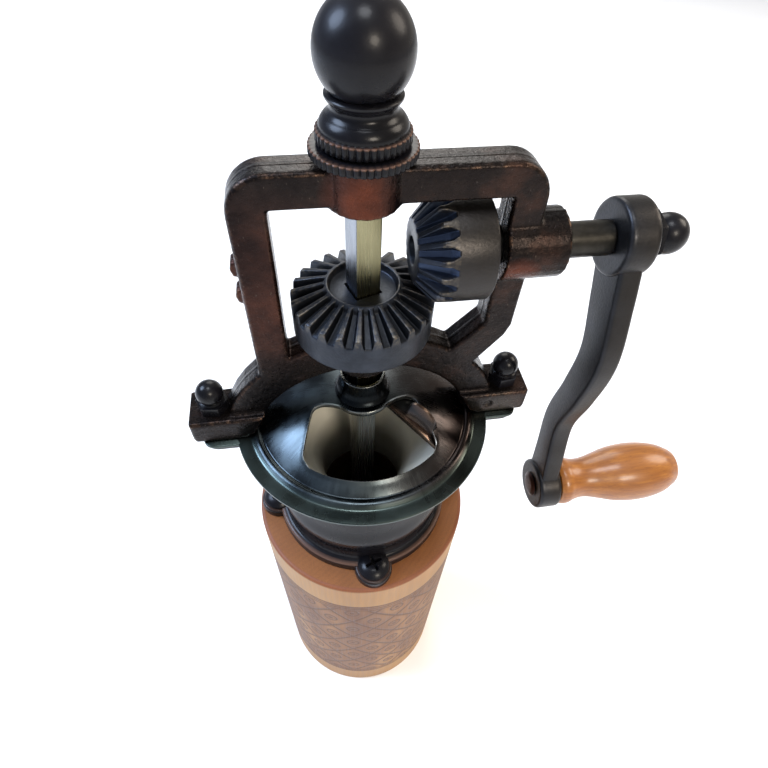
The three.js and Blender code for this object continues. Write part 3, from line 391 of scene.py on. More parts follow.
# The ground under the lines: tan bands above and below the carving, and a browner top face,
# its end grain darkened further by painted shade, with a reddish rim
def woodGround(look, level, plain, cloud):
    w = woodLook
    fromPith = look.add("ShaderNodeMapping", "Vector", {
        "Vector": look.place, "Location": (-w["pith"][0] * mm, -w["pith"][1] * mm, 0), "Scale": (1, 1, 0.12)})
    rings = look.add("ShaderNodeTexWave", "Fac", {
        "Vector": fromPith, "Scale": w["waveSpacing"] / (w["ringSpacing"] * mm), "Distortion": 2.2,
        "Detail": 2.0, "Detail Scale": 0.35}, wave_type="RINGS", rings_direction="Z")
    faint = rings * 0.12 + cloud * 0.88
    band = look.graded(faint, "#a07646", "#ae8350")
    # the top face is browner: its end grain, darkened further by painted shade
    top = look.graded(faint, "#834f25", "#925a2a")
    edgeRim = look.between(look.radius() - w["rimStart"], (0.2, 0.0), (0.6, 1.0))
    top = look.mixed(edgeRim * 0.6, top, "#7c3f22")
    carved = look.between(cloud, (0.35, "#6e4524"), (0.55, "#875b31"), (0.7, "#a27541"))
    topFace = look.between(level - (w["bandTop"] - 0.5), (0.2, 0.0), (0.8, 1.0))
    return look.mixed(topFace, look.mixed(plain, carved, band), top)


# Trellis: two families of lines that cross, a ring and a dot in each opening. Gives the lines
# and the distance from the middle of each opening.
def woodTrellis(look, level):
    around = look.turn() * (woodLook["columns"] / (2 * np.pi))
    upwards = level / woodLook["rowHeight"]
    across = abs(look.maths("FRACT", around + upwards) - 0.5)
    along = abs(look.maths("FRACT", around - upwards) - 0.5)
    lattice = look.between(look.maths("MAXIMUM", across, along), (0.44, 0.0), (0.475, 1.0))
    spread = look.maths("SQRT", across * across + along * along)
    ring = look.between(abs(spread - 0.2), (0.015, 1.0), (0.04, 0.0))
    dot = look.between(spread, (0.05, 1.0), (0.075, 0.0))
    return look.maths("MAXIMUM", lattice, look.maths("MAXIMUM", ring, dot)), spread


# Fine grooves at each end of the carved zone, with the trellis between them
def woodLines(look, level, trellis):
    w = woodLook
    fromEnd = look.maths("MINIMUM", w["bandFoot"] - level, level - w["lowBand"])
    fromGroove = abs(look.maths("FRACT", fromEnd / w["grooveSpacing"]) - 0.5)
    grooves = look.between(fromGroove, (0.12, 1.0), (0.24, 0.0))
    atEnd = look.maths("LESS_THAN", fromEnd, w["grooves"] * w["grooveSpacing"])
    return grooves * atEnd + trellis * (1.0 - atEnd)


def oiledTurnedWood():
    look = Look("oiledTurnedWood")
    pores = look.grain((0.35, 0.35, 9), 3)
    cloud = look.grain((10, 10, 30), 3)
    level = look.axis("Z")
    plain = look.maths("MAXIMUM", look.maths("GREATER_THAN", level, woodLook["bandFoot"]),
                       look.maths("LESS_THAN", level, woodLook["lowBand"]))
    trellis, spread = woodTrellis(look, level)
    lines = woodLines(look, level, trellis) * (1.0 - plain)
    colour = woodGround(look, level, plain, cloud)
    colour = look.mixed(0.25, colour, look.between(pores, (0.35, 0.35), (0.6, 1.0)), "MULTIPLY")

    # the burnt shading is darkest along the trellis and round each dot
    burnt = look.between(spread, (0.12, 0.75), (0.24, 0.1), (0.36, 0.0), (0.5, 0.6))
    colour = look.mixed(burnt * (1.0 - plain) * cloud, colour, "#5e381b")
    colour = look.mixed(lines * (cloud * 0.8 + 0.3), colour, "#4a2e1c")
    # painted shade darkens the bore
    boreShade = look.between(look.radius() / paintedShadeReach, (0.66, 0.85), (0.78, 0.0))
    colour = look.mixed(boreShade, colour, "#1c120b")
    return look.finished(pores * 0.25 - lines * 0.7, 0.12, {
        "Base Color": colour, "Roughness": look.graded(pores, 0.48, 0.62)})


# Varnished beech of the grip: honey orange, short darker flecks along its length
def varnishedBeech():
    look = Look("varnishedBeech")
    streaks = look.grain((14, 0.9, 0.9), 4, 0.6)
    flecks = look.between(look.grain((2.2, 0.35, 0.35), 2), (0.3, 1.0), (0.4, 0.0))
    colour = look.between(streaks, (0.3, "#834a15"), (0.55, "#9c5e1b"), (0.75, "#b07128"))
    colour = look.mixed(flecks * 0.5, colour, "#6f3d14")
    return look.finished(streaks, 0.03, {
        "Base Color": colour, "Roughness": 0.42, "Coat Weight": 0.4, "Coat Roughness": 0.18})


looks = {
    "nickel": blackNickelPlate("blackNickelPlate", "#9a9c98"),
    "wornNickel": blackNickelPlate("rubbedNickelPlate", "#8d7565"),
    "enamel": blackEnamel(),
    "casting": antiqueBronzeCasting(),
    "phosphate": phosphatedSteel(),
    "bar": drawnSteelBar(),
    "sheet": spunTinnedSheet(),
    "arbor": plainMetal("oiledShaftSteel", "#2e2c28", "#3b3935", 0.38),
    "rivet": plainMetal("brownedRivet", "#2a1a16", "#45291f", 0.4),
    "zinc": plainMetal("zincPlatedSteel", "#7b7a75", "#94938d", 0.42),
    "burr": plainMetal("groundBurrIron", "#4b4c4e", "#66676a", 0.46),
    "wood": oiledTurnedWood(),
    "beech": varnishedBeech(),
}
print("materials made:", len(looks))


# ---- surfaces

def turnAngles(count):
    return np.linspace(0, 2 * np.pi, count, endpoint=False)


# Turned surface: each row is (radius, height), and its point at an angle lies at the radius
# times the angle's cosine, the radius times its sine, and the height. Radius and height may
# be numbers, or have one value per angle.
def turned(rows, angles):
    radii = np.array([row[0] + 0 * angles for row in rows])
    heights = np.array([row[1] + 0 * angles for row in rows])
    return np.stack([radii * np.cos(angles), radii * np.sin(angles), heights], axis=-1)


# Line through corners that are eased: each corner becomes a curve from soft mm before it to
# soft mm after it, a quadratic blend of the point before, the corner and the point after, with
# a support point beyond each end.
def eased(points, soft, closed=True, steps=5):
    p = np.asarray(points, float)
    soft = np.broadcast_to(np.asarray(soft, float), len(p))[:, None]

    # the curve's end on one side of each corner, at most 0.36 of the way to the neighbour
    def softened(neighbour):
        towards = neighbour - p
        length = np.linalg.norm(towards, axis=1, keepdims=True)
        return p + towards / np.maximum(length, 1e-9) * np.minimum(soft, 0.36 * length)

    t = np.linspace(0, 1, steps)[None, :, None]
    a = softened(np.roll(p, 1, axis=0))[:, None]
    b = p[:, None]
    c = softened(np.roll(p, -1, axis=0))[:, None]
    curve = (1 - t) ** 2 * a + 2 * t * (1 - t) * b + t ** 2 * c
    curve = np.concatenate([a + 0.3 * (a - b), curve, c + 0.3 * (c - b)], axis=1)
    if closed:
        return curve.reshape(-1, 2)
    return np.vstack([p[:1], curve[1:-1].reshape(-1, 2), p[-1:]])


# Smooth line through points: a Catmull-Rom cubic between each pair of neighbours
def splined(points, steps=8):
    p = np.asarray(points, float)
    p = np.vstack([2 * p[0] - p[1], p, 2 * p[-1] - p[-2]])
    t = np.linspace(0, 1, steps, endpoint=False)[None, :, None]
    a, b, c, d = (p[i:len(p) - 3 + i, None] for i in range(4))
    curve = 0.5 * (2 * b + (c - a) * t + (2 * a - 5 * b + 4 * c - d) * t ** 2
                   + (3 * b - a - 3 * c + d) * t ** 3)
    return np.vstack([curve.reshape(-1, p.shape[1]), p[-2:-1]])


# A grid whose first and last rows are drawn together at their middles
def capped(grid):
    ends = [np.broadcast_to(grid[i].mean(axis=0), grid[i].shape)[None] for i in (0, -1)]
    return np.concatenate([ends[0], grid, ends[1]])


# Points in the plane, each raised to its level
def lifted(flat, level):
    return np.concatenate([flat, np.broadcast_to(level, flat.shape[:-1])[..., None]], axis=-1)


# Moves a grid, or stands it on another axis: "x" turns Z to X
def moved(grid, offset=(0, 0, 0), axis="z"):
    if axis == "x":
        grid = grid[..., [2, 0, 1]]
    return grid + np.array(offset, float)


# A flat plate: its outline, eased at the top and bottom edges by shrinking towards the middle
def plate(outline, low, high, ease=0.25):
    middle = outline.mean(axis=0)
    inward = (outline - middle) / np.linalg.norm(outline - middle, axis=1, keepdims=True)
    insets = np.array([ease, 0.3 * ease, 0, 0, 0.3 * ease, ease])
    levels = np.array([low, low + 0.3 * ease, low + ease, high - ease, high - 0.3 * ease, high])
    return capped(lifted(outline - inward * insets[:, None, None], levels[:, None]))


# An ear's outline, from a line inside the piece out to its rounded end on one side
def earOutline(side, start, end, half, soft):
    return eased([(side * start, -half), (side * end, -half), (side * end, half), (side * start, half)],
                 [soft, 3.4, 3.4, soft], steps=9)


# Quads between neighbouring rows and columns; columns close on themselves, rows if asked
def quads(rows, columns, closeRows):
    index = np.arange(rows * columns).reshape(rows, columns)
    here = index if closeRows else index[:-1]
    below = np.roll(index, -1, axis=0) if closeRows else index[1:]
    corners = [here, np.roll(here, -1, axis=1), np.roll(below, -1, axis=1), below]
    return np.stack(corners, axis=-1).reshape(-1, 4)


# Makes one piece from grids, each (points, closeRows). Doubles at poles and seams are merged
# and every shell's faces are turned outwards.
def makePiece(name, grids, look, body, replaces, marks=None, sharp=38):
    points, faces, count = [], [], 0
    for grid, closeRows in grids:
        points.append(grid.reshape(-1, 3))
        faces.append(quads(grid.shape[0], grid.shape[1], closeRows) + count)
        count += grid.shape[0] * grid.shape[1]
    mesh = bpy.data.meshes.new(name)
    mesh.from_pydata((np.vstack(points) * mm).tolist(), [], np.vstack(faces).tolist())
    finishPiece(name, mesh, look, body, replaces, marks, sharp)


# Marks are functions of x, y and z in millimetres, kept as vertex attributes of their name
def finishPiece(name, mesh, look, body, replaces, marks=None, sharp=38):
    work = bmesh.new()
    work.from_mesh(mesh)
    bmesh.ops.remove_doubles(work, verts=work.verts, dist=2e-6)
    bmesh.ops.dissolve_degenerate(work, edges=work.edges, dist=1e-7)
    bmesh.ops.recalc_face_normals(work, faces=work.faces)
    work.to_mesh(mesh)
    work.free()
    mesh.shade_smooth()
    mesh.set_sharp_from_angle(angle=np.radians(sharp))
    place = np.empty(len(mesh.vertices) * 3)
    mesh.vertices.foreach_get("co", place)
    x, y, z = place.reshape(-1, 3).T / mm
    for word, amount in (marks or {}).items():
        layer = mesh.attributes.new(word, "FLOAT", "POINT")
        layer.data.foreach_set("value", unit(amount(x, y, z)).astype(np.float32))
    mesh.materials.append(looks[look])
    piece = placed(name, mesh)
    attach(piece, body)
    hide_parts(*replaces)


def unit(value):
    return np.clip(value, 0, 1)


# 1 where the value is 0, falling off on both sides: e to the minus square of value over width
def bell(value, width):
    return np.exp(-(value / width) ** 2)


# ---- wood body

body = {"radius": 28.0, "height": 100.0, "edge": 0.9, "bore": 9.9, "spigot": 15.7, "spigotTop": 106.0,
        "footPocket": 24.3, "burrPocket": 19.5, "footTop": 3.3, "burrTop": 19.3}


def makeBody():
    b = body
    points = [(b["footPocket"], 0), (b["radius"], 0), (b["radius"], b["height"]), (b["spigot"], b["height"]),
              (b["spigot"], b["spigotTop"]), (b["bore"], b["spigotTop"]),
              (b["bore"], b["burrTop"] + b["burrPocket"] - b["bore"]), (b["burrPocket"], b["burrTop"]),
              (b["burrPocket"], b["footTop"]), (b["footPocket"], b["footTop"])]
    line = eased(points, [0.3, b["edge"], b["edge"], 0.3, 0.4, 0.3, 0.5, 0.3, 0.3, 0.3])
    makePiece("body_turned", [(turned(line, turnAngles(160)), True)],
              "wood", "base", ["wood_body"])


makeBody()

# ---- collar with its ears, and its screws

collar = {
    "foot": body["height"], "footRadius": 22.6, "footHeight": 3.1, "earRadius": 4.7, "earHeight": 2.7,
    "screwCircle": 22.6, "boltEarEnd": 34.8, "boltEarHalf": 5.0, "boltEarHeight": 2.0,
    # outside of the waist, from the foot's flange up to the rim, as (radius, height)
    "waist": [(20.5, 104.4), (20.2, 106.4), (20.85, 109.05), (21.5, 112.8), (20.6, 117.7),
              (20.0, 124.1), (20.25, 128.6), (21.4, 132.2), (23.4, 134.3), (24.25, 135.5)],
    "rimRadius": 24.4, "seatRadius": 20.94, "seatLevel": 136.1, "mouthRadius": 19.87, "mouthLevel": 132.6,
    "innerRadius": 18.2, "boreRadius": 16.0, "boreHeight": 1.6,
}


# Place of a collar screw, whose ear stands at an azimuth
def screwSpot(azimuth):
    a = np.radians(azimuth)
    return collar["screwCircle"] * np.cos(a), collar["screwCircle"] * np.sin(a), 0


def makeCollar():
    c = collar
    foot, flangeTop = c["foot"], c["foot"] + c["footHeight"]
    base = eased([(c["boreRadius"], foot), (c["footRadius"], foot), (c["footRadius"], flangeTop),
                  (c["waist"][0][0] + 0.4, flangeTop + 0.35), c["waist"][0]], [0, 0.3, 0.9, 0.6, 0], False)
    rim = eased([c["waist"][-1], (c["rimRadius"], c["seatLevel"]), (c["rimRadius"], lidLevel),
                 (c["seatRadius"], lidLevel), (c["seatRadius"], c["seatLevel"]),
                 (c["mouthRadius"], c["seatLevel"]), (c["innerRadius"], c["mouthLevel"]),
                 (c["innerRadius"], foot + c["boreHeight"]), (c["boreRadius"], foot + c["boreHeight"]),
                 (c["boreRadius"], foot)], 0.3, False)
    line = np.vstack([base[:-1], splined(c["waist"], 7)[:-1], rim[:-1]])
    grids = [(turned(line, turnAngles(144)), True)]
    earTop = foot + c["earHeight"]
    ear = eased([(0, foot), (c["earRadius"], foot), (c["earRadius"], earTop), (0, earTop)],
                [0, 0.2, 0.7, 0], False)
    for azimuth in (0, 90, 180, 270):
        grids.append((moved(turned(ear, turnAngles(48)), screwSpot(azimuth)), False))
    for side in (-1, 1):
        outline = earOutline(side, 21, c["boltEarEnd"], c["boltEarHalf"], 0.5)
        grids.append((plate(outline, lidLevel - c["boltEarHeight"], lidLevel - 0.02), False))
    # the foot flange's top edge gets a painted coppery highlight
    makePiece("collar_cast", grids, "enamel", "base", ["collar"],
              {"wearAndPaintedLight": lambda x, y, z: 0.7 * bell(z - flangeTop + 0.1, 0.3) * (np.hypot(x, y) > 21.6)})


screw = {"radius": 3.9, "height": 2.3, "seat": 102.72, "slotHalf": 0.42, "slotReach": 2.15, "slotDepth": 1.5,
         "slotWall": 0.09, "slotRunOut": 0.5, "firstTurn": 20, "turnStep": 37}


# Pan head: height falls from the crown as a flat dome; the cross recess is cut where the
# point lies near either of two lines through the middle, fading out at the slot's reach.
def makeScrews():
    s = screw
    angles = turnAngles(144)
    reach = np.concatenate([np.linspace(0, s["slotReach"] * 1.15, 26),
                            np.linspace(s["slotReach"] * 1.2, s["radius"], 12)])
    x, y = np.abs(reach[:, None] * np.cos(angles)), np.abs(reach[:, None] * np.sin(angles))
    nearer, farther = np.minimum(x, y), np.maximum(x, y)
    width = s["slotHalf"] * (1 - 0.35 * farther / s["slotReach"])
    across = unit((width - nearer) / s["slotWall"] + 0.5)
    outward = unit((s["slotReach"] - farther) / s["slotRunOut"])
    top = s["seat"] + s["height"] * (1 - 0.62 * (reach / s["radius"]) ** 3.2)
    heads = top[:, None] - s["slotDepth"] * across * outward
    edge = eased([(s["radius"], s["seat"] + 0.38 * s["height"]), (s["radius"], s["seat"]), (0, s["seat"])],
                 [0, 0.2, 0], False)
    rows = [*zip(reach, heads), *edge[1:]]
    for i in range(4):
        turn = np.radians(s["firstTurn"] + s["turnStep"] * i)
        grid = moved(turned(rows, angles + turn), screwSpot(90 * i - 90))
        makePiece(f"screw_head_{i + 1}", [(grid, False)], "enamel", "base",
                  [f"collar_screw_{i + 1}"])


makeCollar()
makeScrews()
print("body and collar made")

# ---- hopper funnel

hopper = {"mouth": 18.84, "rim": 1.8, "rimHeight": 1.2, "throat": 9.9, "wall": 1.2, "foot": 106.3,
          "depth": 20.0}


def makeHopper():
    h = hopper
    top, throatLevel = lidLevel - 0.3, lidLevel - h["depth"]
    slope = (h["mouth"] - h["throat"]) / (top - throatLevel)
    rimUnder = top - h["rimHeight"]
    outside = h["throat"] + (rimUnder - throatLevel) * slope + h["wall"] * np.hypot(1, slope)
    line = eased([(h["throat"], h["foot"]), (h["throat"] + h["wall"], h["foot"]),
                  (h["throat"] + h["wall"], throatLevel - 0.26), (outside, rimUnder),
                  (h["mouth"] + h["rim"], rimUnder), (h["mouth"] + h["rim"], top), (h["mouth"], top),
                  (h["throat"], throatLevel)], [0.2, 0.2, 1.2, 0.3, 0.3, 0.3, 0.6, 2.2])
    makePiece("hopper_spun", [(turned(line, turnAngles(144)), True)],
              "sheet", "base", ["hopper_funnel"])


makeHopper()

# ---- lid, shutter and eyelet

lid = {
    "radius": 28.0, "sheet": 0.9, "crown": 9.0, "dome": 38.0, "domeFoot": 22.4,
    # section of the bead and the brim, as (radius, height over the brim's underside)
    "bead": [(22.8, 1.42), (23.15, 1.44), (23.6, 1.63), (24.15, 1.55), (24.7, 1.22), (25.15, 0.96),
             (25.6, 0.9), (26.4, 0.9)],
    "beadStart": 22.5, "flatStart": 23.3,
    "front": 20.0, "neck": 6.9, "cornerX": 14.0, "sideY": -13.2, "shoulderX": 11.0, "shoulderY": -4.2,
    "middle": (0.0, -12.0), "earHalf": 6.0, "earEnd": 34.8, "outlineStep": 0.35,
    "lipRise": 0.16, "lipWidth": 0.55, "beadEnd": 26.0,
}


# Height of the dome over the brim's underside: crown minus the dome's own radius, plus the
# root of that radius squared minus the distance from the axis squared
def domeHeight(radius):
    return lid["crown"] - lid["dome"] + np.sqrt(lid["dome"] ** 2 - radius ** 2)


# Top of the lid's sheet over the brim's underside: dome, a shallow valley, the bead, the brim
def lidTop(radius):
    start = lid["beadStart"]
    beadLine = splined([(start, domeHeight(start)), *lid["bead"]], 8)
    bead = np.interp(radius, beadLine[:, 0], beadLine[:, 1])
    return np.where(radius < start, domeHeight(np.minimum(radius, start)), bead)


# The fill opening's outline: front arc, straight sides, round shoulders, hollow neck arc,
# evened out to short steps
def openingOutline():
    o = lid
    half = np.arcsin(o["cornerX"] / o["front"])
    front = -np.pi / 2 + np.linspace(-half, half, 40)
    neck = -np.pi / 2 + np.linspace(np.pi / 4, -np.pi / 4, 24)
    cornerX, sideY, shoulderX, shoulderY = o["cornerX"], o["sideY"], o["shoulderX"], o["shoulderY"]
    corner = eased([(-shoulderX - 0.1, shoulderY + 1.1), (-cornerX, sideY), (1.2 - cornerX, sideY - 1.9)],
                   [0, 1.4, 0], False, 7)[1:-1]
    sideEnd = np.array([(shoulderX + 0.9, shoulderY - 2.0)])
    shoulder = splined([(shoulderX + 0.6, shoulderY - 1.2), (shoulderX - 0.2, shoulderY + 0.5),
                        (shoulderX - 2.0, shoulderY + 1.0), (shoulderX - 4.3, shoulderY + 0.3)], 8)
    arcFront = o["front"] * np.stack([np.cos(front), np.sin(front)], axis=1)
    arcNeck = o["neck"] * np.stack([np.cos(neck), np.sin(neck)], axis=1)
    mirror = np.array([-1, 1])
    line = np.vstack([arcFront[2:-2], corner[::-1] * mirror, sideEnd, shoulder, arcNeck,
                      (shoulder * mirror)[::-1], sideEnd * mirror, corner])
    closed = np.vstack([line, line[:1]])
    run = np.concatenate([[0], np.cumsum(np.linalg.norm(np.diff(closed, axis=0), axis=1))])
    even = np.linspace(0, run[-1], int(run[-1] / o["outlineStep"]), endpoint=False)
    return np.stack([np.interp(even, run, closed[:, i]) for i in (0, 1)], axis=1)


# The lip rolls over the sheet's edge all round the opening
def lidLip(outline, heading):
    shift = np.array([0.16, 0.0, -0.03, 0.0, 0.2])[:, None, None]
    drop = np.array([-0.15, 0.0, 0.35, 0.7, 0.9])[:, None]
    edgeTop = lidLevel + lidTop(np.linalg.norm(outline, axis=1))
    return lifted(outline + heading * shift, edgeTop - drop)


# The sheet is a ring of rows from the opening's edge outwards: first along straight lines from
# a point in the opening to the dome's foot circle, then along radii to the brim's edge, and
# back underneath. Columns follow the outline's own points.
def makeLid():
    o = lid
    middle = np.array(o["middle"])
    outline = openingOutline()
    away = outline - middle
    order = np.argsort(np.arctan2(away[:, 1], away[:, 0]))
    outline, away = outline[order], away[order]
    heading = away / np.linalg.norm(away, axis=1, keepdims=True)
    along = heading @ middle
    toCircle = -along + np.sqrt(along ** 2 - middle @ middle + o["domeFoot"] ** 2)
    footCircle = middle + heading * toCircle[:, None]
    azimuth = footCircle / o["domeFoot"]
    inner = np.linspace(0, 1, 56)[1:, None, None] ** 1.15
    outer = np.concatenate([np.linspace(o["domeFoot"], o["beadEnd"], 42)[1:],
                            [o["radius"] - 1.0, o["radius"] - 0.4]])
    flat = np.concatenate([outline * (1 - inner) + footCircle * inner, azimuth * outer[:, None, None]])
    radius = np.linalg.norm(flat, axis=2)
    top = lidLevel + lidTop(radius)
    under = np.where(radius > o["flatStart"], lidLevel, np.maximum(top - o["sheet"], lidLevel))
    # next to the opening the sheet stands a little proud
    top = top + o["lipRise"] * bell(np.linalg.norm(flat - outline, axis=2), o["lipWidth"])
    rimInset = np.array([0.15, 0, 0, 0.15])[:, None, None]
    rim = lifted(azimuth * (o["radius"] - rimInset), lidLevel + np.array([0.88, 0.7, 0.2, 0.02])[:, None])
    lip = lidLip(outline, heading)
    grids = [(np.concatenate([lifted(flat, top), rim, lifted(flat, under)[::-1], lip[::-1]]), True)]
    for side in (-1, 1):
        ear = earOutline(side, 26.9, o["earEnd"], o["earHalf"], 0.2)
        grids.append((plate(ear, lidLevel + 0.01, lidLevel + o["sheet"] - 0.01, 0.2), False))

    # painted highlight along the opening's edge, and painted shade on the lip's inner side
    def edgeWearAndHighlight(x, y, z):
        distance = np.hypot(x[:, None] - outline[:, 0], y[:, None] - outline[:, 1]).min(axis=1)
        return 0.6 * bell(distance, 0.12) * (z > lidLevel + 1)

    def lipShade(x, y, z):
        radius = np.hypot(x, y)
        return (z < lidLevel + lidTop(radius) - 0.3) * (radius < 21)

    makePiece("lid_pressed", grids, "nickel", "base", ["lid"],
              {"wearAndPaintedLight": edgeWearAndHighlight, "shadeAndTone": lipShade})


shutter = {"radius": 21.3, "hub": 6.4, "hole": 3.8, "sheet": 0.6, "drop": 1.2, "edge": -44.0, "span": 121.0,
           "tabAzimuth": -40.0, "tabInner": 10.8, "tabOuter": 17.6, "tabHeight": 3.3, "tabLean": 1.5,
           "tabSink": 0.3, "leafColumns": 120, "hubColumns": 90}


# Finger tab: a leaf that stands on the shutter along a radius; its height is a half ellipse of
# its length, and it leans away from the opening as it rises
def fingerTab():
    s = shutter
    along = np.linspace(0, 1, 40)
    r = s["tabInner"] + (s["tabOuter"] - s["tabInner"]) * along
    foot = lidLevel + domeHeight(r) - s["drop"] - s["tabSink"]
    height = s["tabHeight"] * np.sqrt(unit(1 - (2 * along - 1) ** 2)) ** 0.8 + s["drop"]
    rise = np.linspace(0, 1, 16)[:, None]
    azimuth = np.radians(s["tabAzimuth"])
    outwards = np.array([np.cos(azimuth), np.sin(azimuth)])
    sideways = np.array([-np.sin(azimuth), np.cos(azimuth)])
    faces = []
    for half in (-0.5, 0.5):
        aside = s["tabLean"] * rise ** 2 + half * s["sheet"]
        faces.append(lifted(r[:, None] * outwards + aside[..., None] * sideways, foot + rise * height))
    loop = np.concatenate([faces[0], faces[1][::-1]])
    return capped(loop.transpose(1, 0, 2))


# A dome sector on a round hub: the outer radius jumps between hub and leaf at the two edges,
# and every point lies the same drop below the lid's dome
def makeShutter():
    s = shutter
    start, end = np.radians([s["edge"], s["edge"] + s["span"]])
    leaf, rest = s["leafColumns"], s["hubColumns"]
    angles = np.concatenate([np.linspace(start, end, leaf), np.linspace(end, start + 2 * np.pi, rest)])
    outer = np.concatenate([np.full(leaf, s["radius"]), np.full(rest, s["hub"])])
    reach = s["hole"] + (outer - s["hole"]) * np.linspace(0, 1, 34)[:, None]
    top = lidLevel + domeHeight(reach) - s["drop"]
    rows = [*zip(reach, top), *zip(reach[::-1], top[::-1] - s["sheet"])]

    def edgeWearAndHighlight(x, y, z):
        r = np.hypot(x, y)
        fromEdge = (np.degrees(np.arctan2(y, x)) - s["edge"]) * r * np.pi / 180
        proud = z - (lidLevel + domeHeight(np.clip(r, 0, 27)))
        tabTop = unit(proud / s["tabHeight"] * 1.6 - 0.75)
        return 0.8 * bell(fromEdge, 0.8) * (r > 7) + tabTop * (proud > 0.3)

    makePiece("shutter_pressed", [(turned(rows, angles), True), (fingerTab(), False)],
              "wornNickel", "shutter_leaf", ["shutter"], {"wearAndPaintedLight": edgeWearAndHighlight})


eyelet = {"bore": 3.48, "tube": 4.08, "flange": 5.2, "sheet": 0.6, "neckBore": 4.15, "neck": 4.75,
          "neckWaist": 5.25, "neckFoot": 6.0, "rise": 5.0}


# The tube that the shutter turns on flares into a neck on the dome, open round the shaft
def makeEyelet():
    e = eyelet
    under = lidLevel + domeHeight(e["flange"]) - 2.1
    top = lidLevel + lid["crown"]
    neckUnder = lidLevel + domeHeight(e["neckFoot"]) + 0.3
    line = eased([(e["bore"], under - e["sheet"]), (e["flange"], under - e["sheet"]), (e["flange"], under),
                  (e["tube"], under), (e["tube"], top + 0.05), (e["neckFoot"], neckUnder),
                  (e["neckFoot"] - 0.1, neckUnder + 0.3), (e["neckWaist"], top + 0.8), (e["neck"], top + 2.4),
                  (e["neck"], top + e["rise"]), (e["neckBore"], top + e["rise"]), (e["neckBore"], top + 1),
                  (e["bore"], top + 0.5)],
                 [0.15, 0.2, 0.2, 0.1, 0.1, 0.15, 0.3, 0.8, 0.8, 0.2, 0.2, 0.3, 0.2])
    # the whole neck gets painted shade, and its top rim a painted pale highlight
    makePiece("neck_flared", [(turned(line, turnAngles(96)), True)],
              "nickel", "base", ["shutter_eyelet"],
              {"shadeAndTone": lambda x, y, z: 1 + 0 * x,
               "wearAndPaintedLight": lambda x, y, z: 0.7 * bell(z - top - e["rise"], 0.12)})


makeLid()
makeShutter()
makeEyelet()
print("lid and shutter made")

# ---- cast frame

casting = {"voxel": 0.3, "smoothing": 4, "strength": 0.5, "sharp": 60}


# The casting's own solid with its corners rounded as sand and paint leave them: it is
# rebuilt from even cells and then smoothed, which eases each edge and fills each corner.
def makeCasting(name, node, look, body):
    source = nodes[node].data.copy()
    work = bmesh.new()
    work.from_mesh(source)
    bmesh.ops.remove_doubles(work, verts=work.verts, dist=1e-6)
    work.to_mesh(source)
    work.free()
    temporary = placed(name + "_work", source)
    cells = temporary.modifiers.new("cells", "REMESH")
    cells.mode = "VOXEL"
    cells.voxel_size = casting["voxel"] * mm
    ease = temporary.modifiers.new("ease", "SMOOTH")
    ease.factor = casting["strength"]
    ease.iterations = casting["smoothing"]
    bpy.context.view_layer.update()
    shaped = temporary.evaluated_get(bpy.context.evaluated_depsgraph_get())
    mesh = bpy.data.meshes.new_from_object(shaped)
    bpy.data.objects.remove(temporary)
    mesh.materials.clear()
    finishPiece(name, mesh, look, body, [node], sharp=casting["sharp"])


makeCasting("frame_cast", "frame", "casting", "base")

# ---- cap nuts

capNut = {"flats": 5.8, "hexHeight": 2.4, "dome": 2.75, "lift": 0.75, "seat": lidLevel + 7.2, "axis": 31.4,
          "turn": 24}


# Hexagon: radius is half the flats over the cosine of the angle from the nearest flat's
# middle, cut by a chamfer cone; above it a step and a dome that is part of a ball
def nutGrid(seat, flats, hexHeight, dome, turn):
    angles = turnAngles(144)
    half = 0.5 * flats
    hexRadius = half / np.cos(np.mod(angles - np.radians(turn), np.pi / 3) - np.pi / 6)
    hexTop = seat + hexHeight
    rows = [(0, seat), (half, seat), (hexRadius, seat), (hexRadius, seat + 0.3)]
    for level in np.linspace(0.62, 1.0, 8):
        cone = half * 1.11 + 1.4 * (1 - level) * hexHeight
        rows.append((np.minimum(hexRadius, cone), seat + level * hexHeight))
    rows += [(0.9 * half, hexTop + 0.02), (0.9 * half, hexTop + 0.3), (0.84 * half, hexTop + 0.42)]
    for sweep in np.linspace(-np.arcsin(capNut["lift"]), np.pi / 2, 30):
        level = hexTop + (capNut["lift"] + np.sin(sweep)) * dome
        if level > hexTop + 0.42:
            rows.append((dome * np.cos(sweep), level))
    return turned(rows, angles)


for side, word in ((-1, "left"), (1, "right")):
    grid = nutGrid(capNut["seat"], capNut["flats"], capNut["hexHeight"], capNut["dome"],
                   -capNut["turn"] * side - 90)
    makePiece(f"cap_nut_{word}_fine", [(moved(grid, (side * capNut["axis"], 0, 0)), False)],
              "enamel", "base", [f"cap_nut_{word}"])
print("frame and nuts made")

# ---- square drive shaft and gears

driveShaft = {"side": 4.5, "turn": 18.5, "journal": 2.2, "foot": 1.8, "squareLow": 8.5, "squareHigh": 190.4,
              "top": 207.0, "litFace": -71.5}


# Square with slightly eased corners: half the side, divided by the root of a high power of the
# sum of the cosine and the sine that are each raised to that power
def squareRadius(side, angles, power=26):
    c, s = np.abs(np.cos(angles)), np.abs(np.sin(angles))
    return 0.5 * side / (c ** power + s ** power) ** (1 / power)


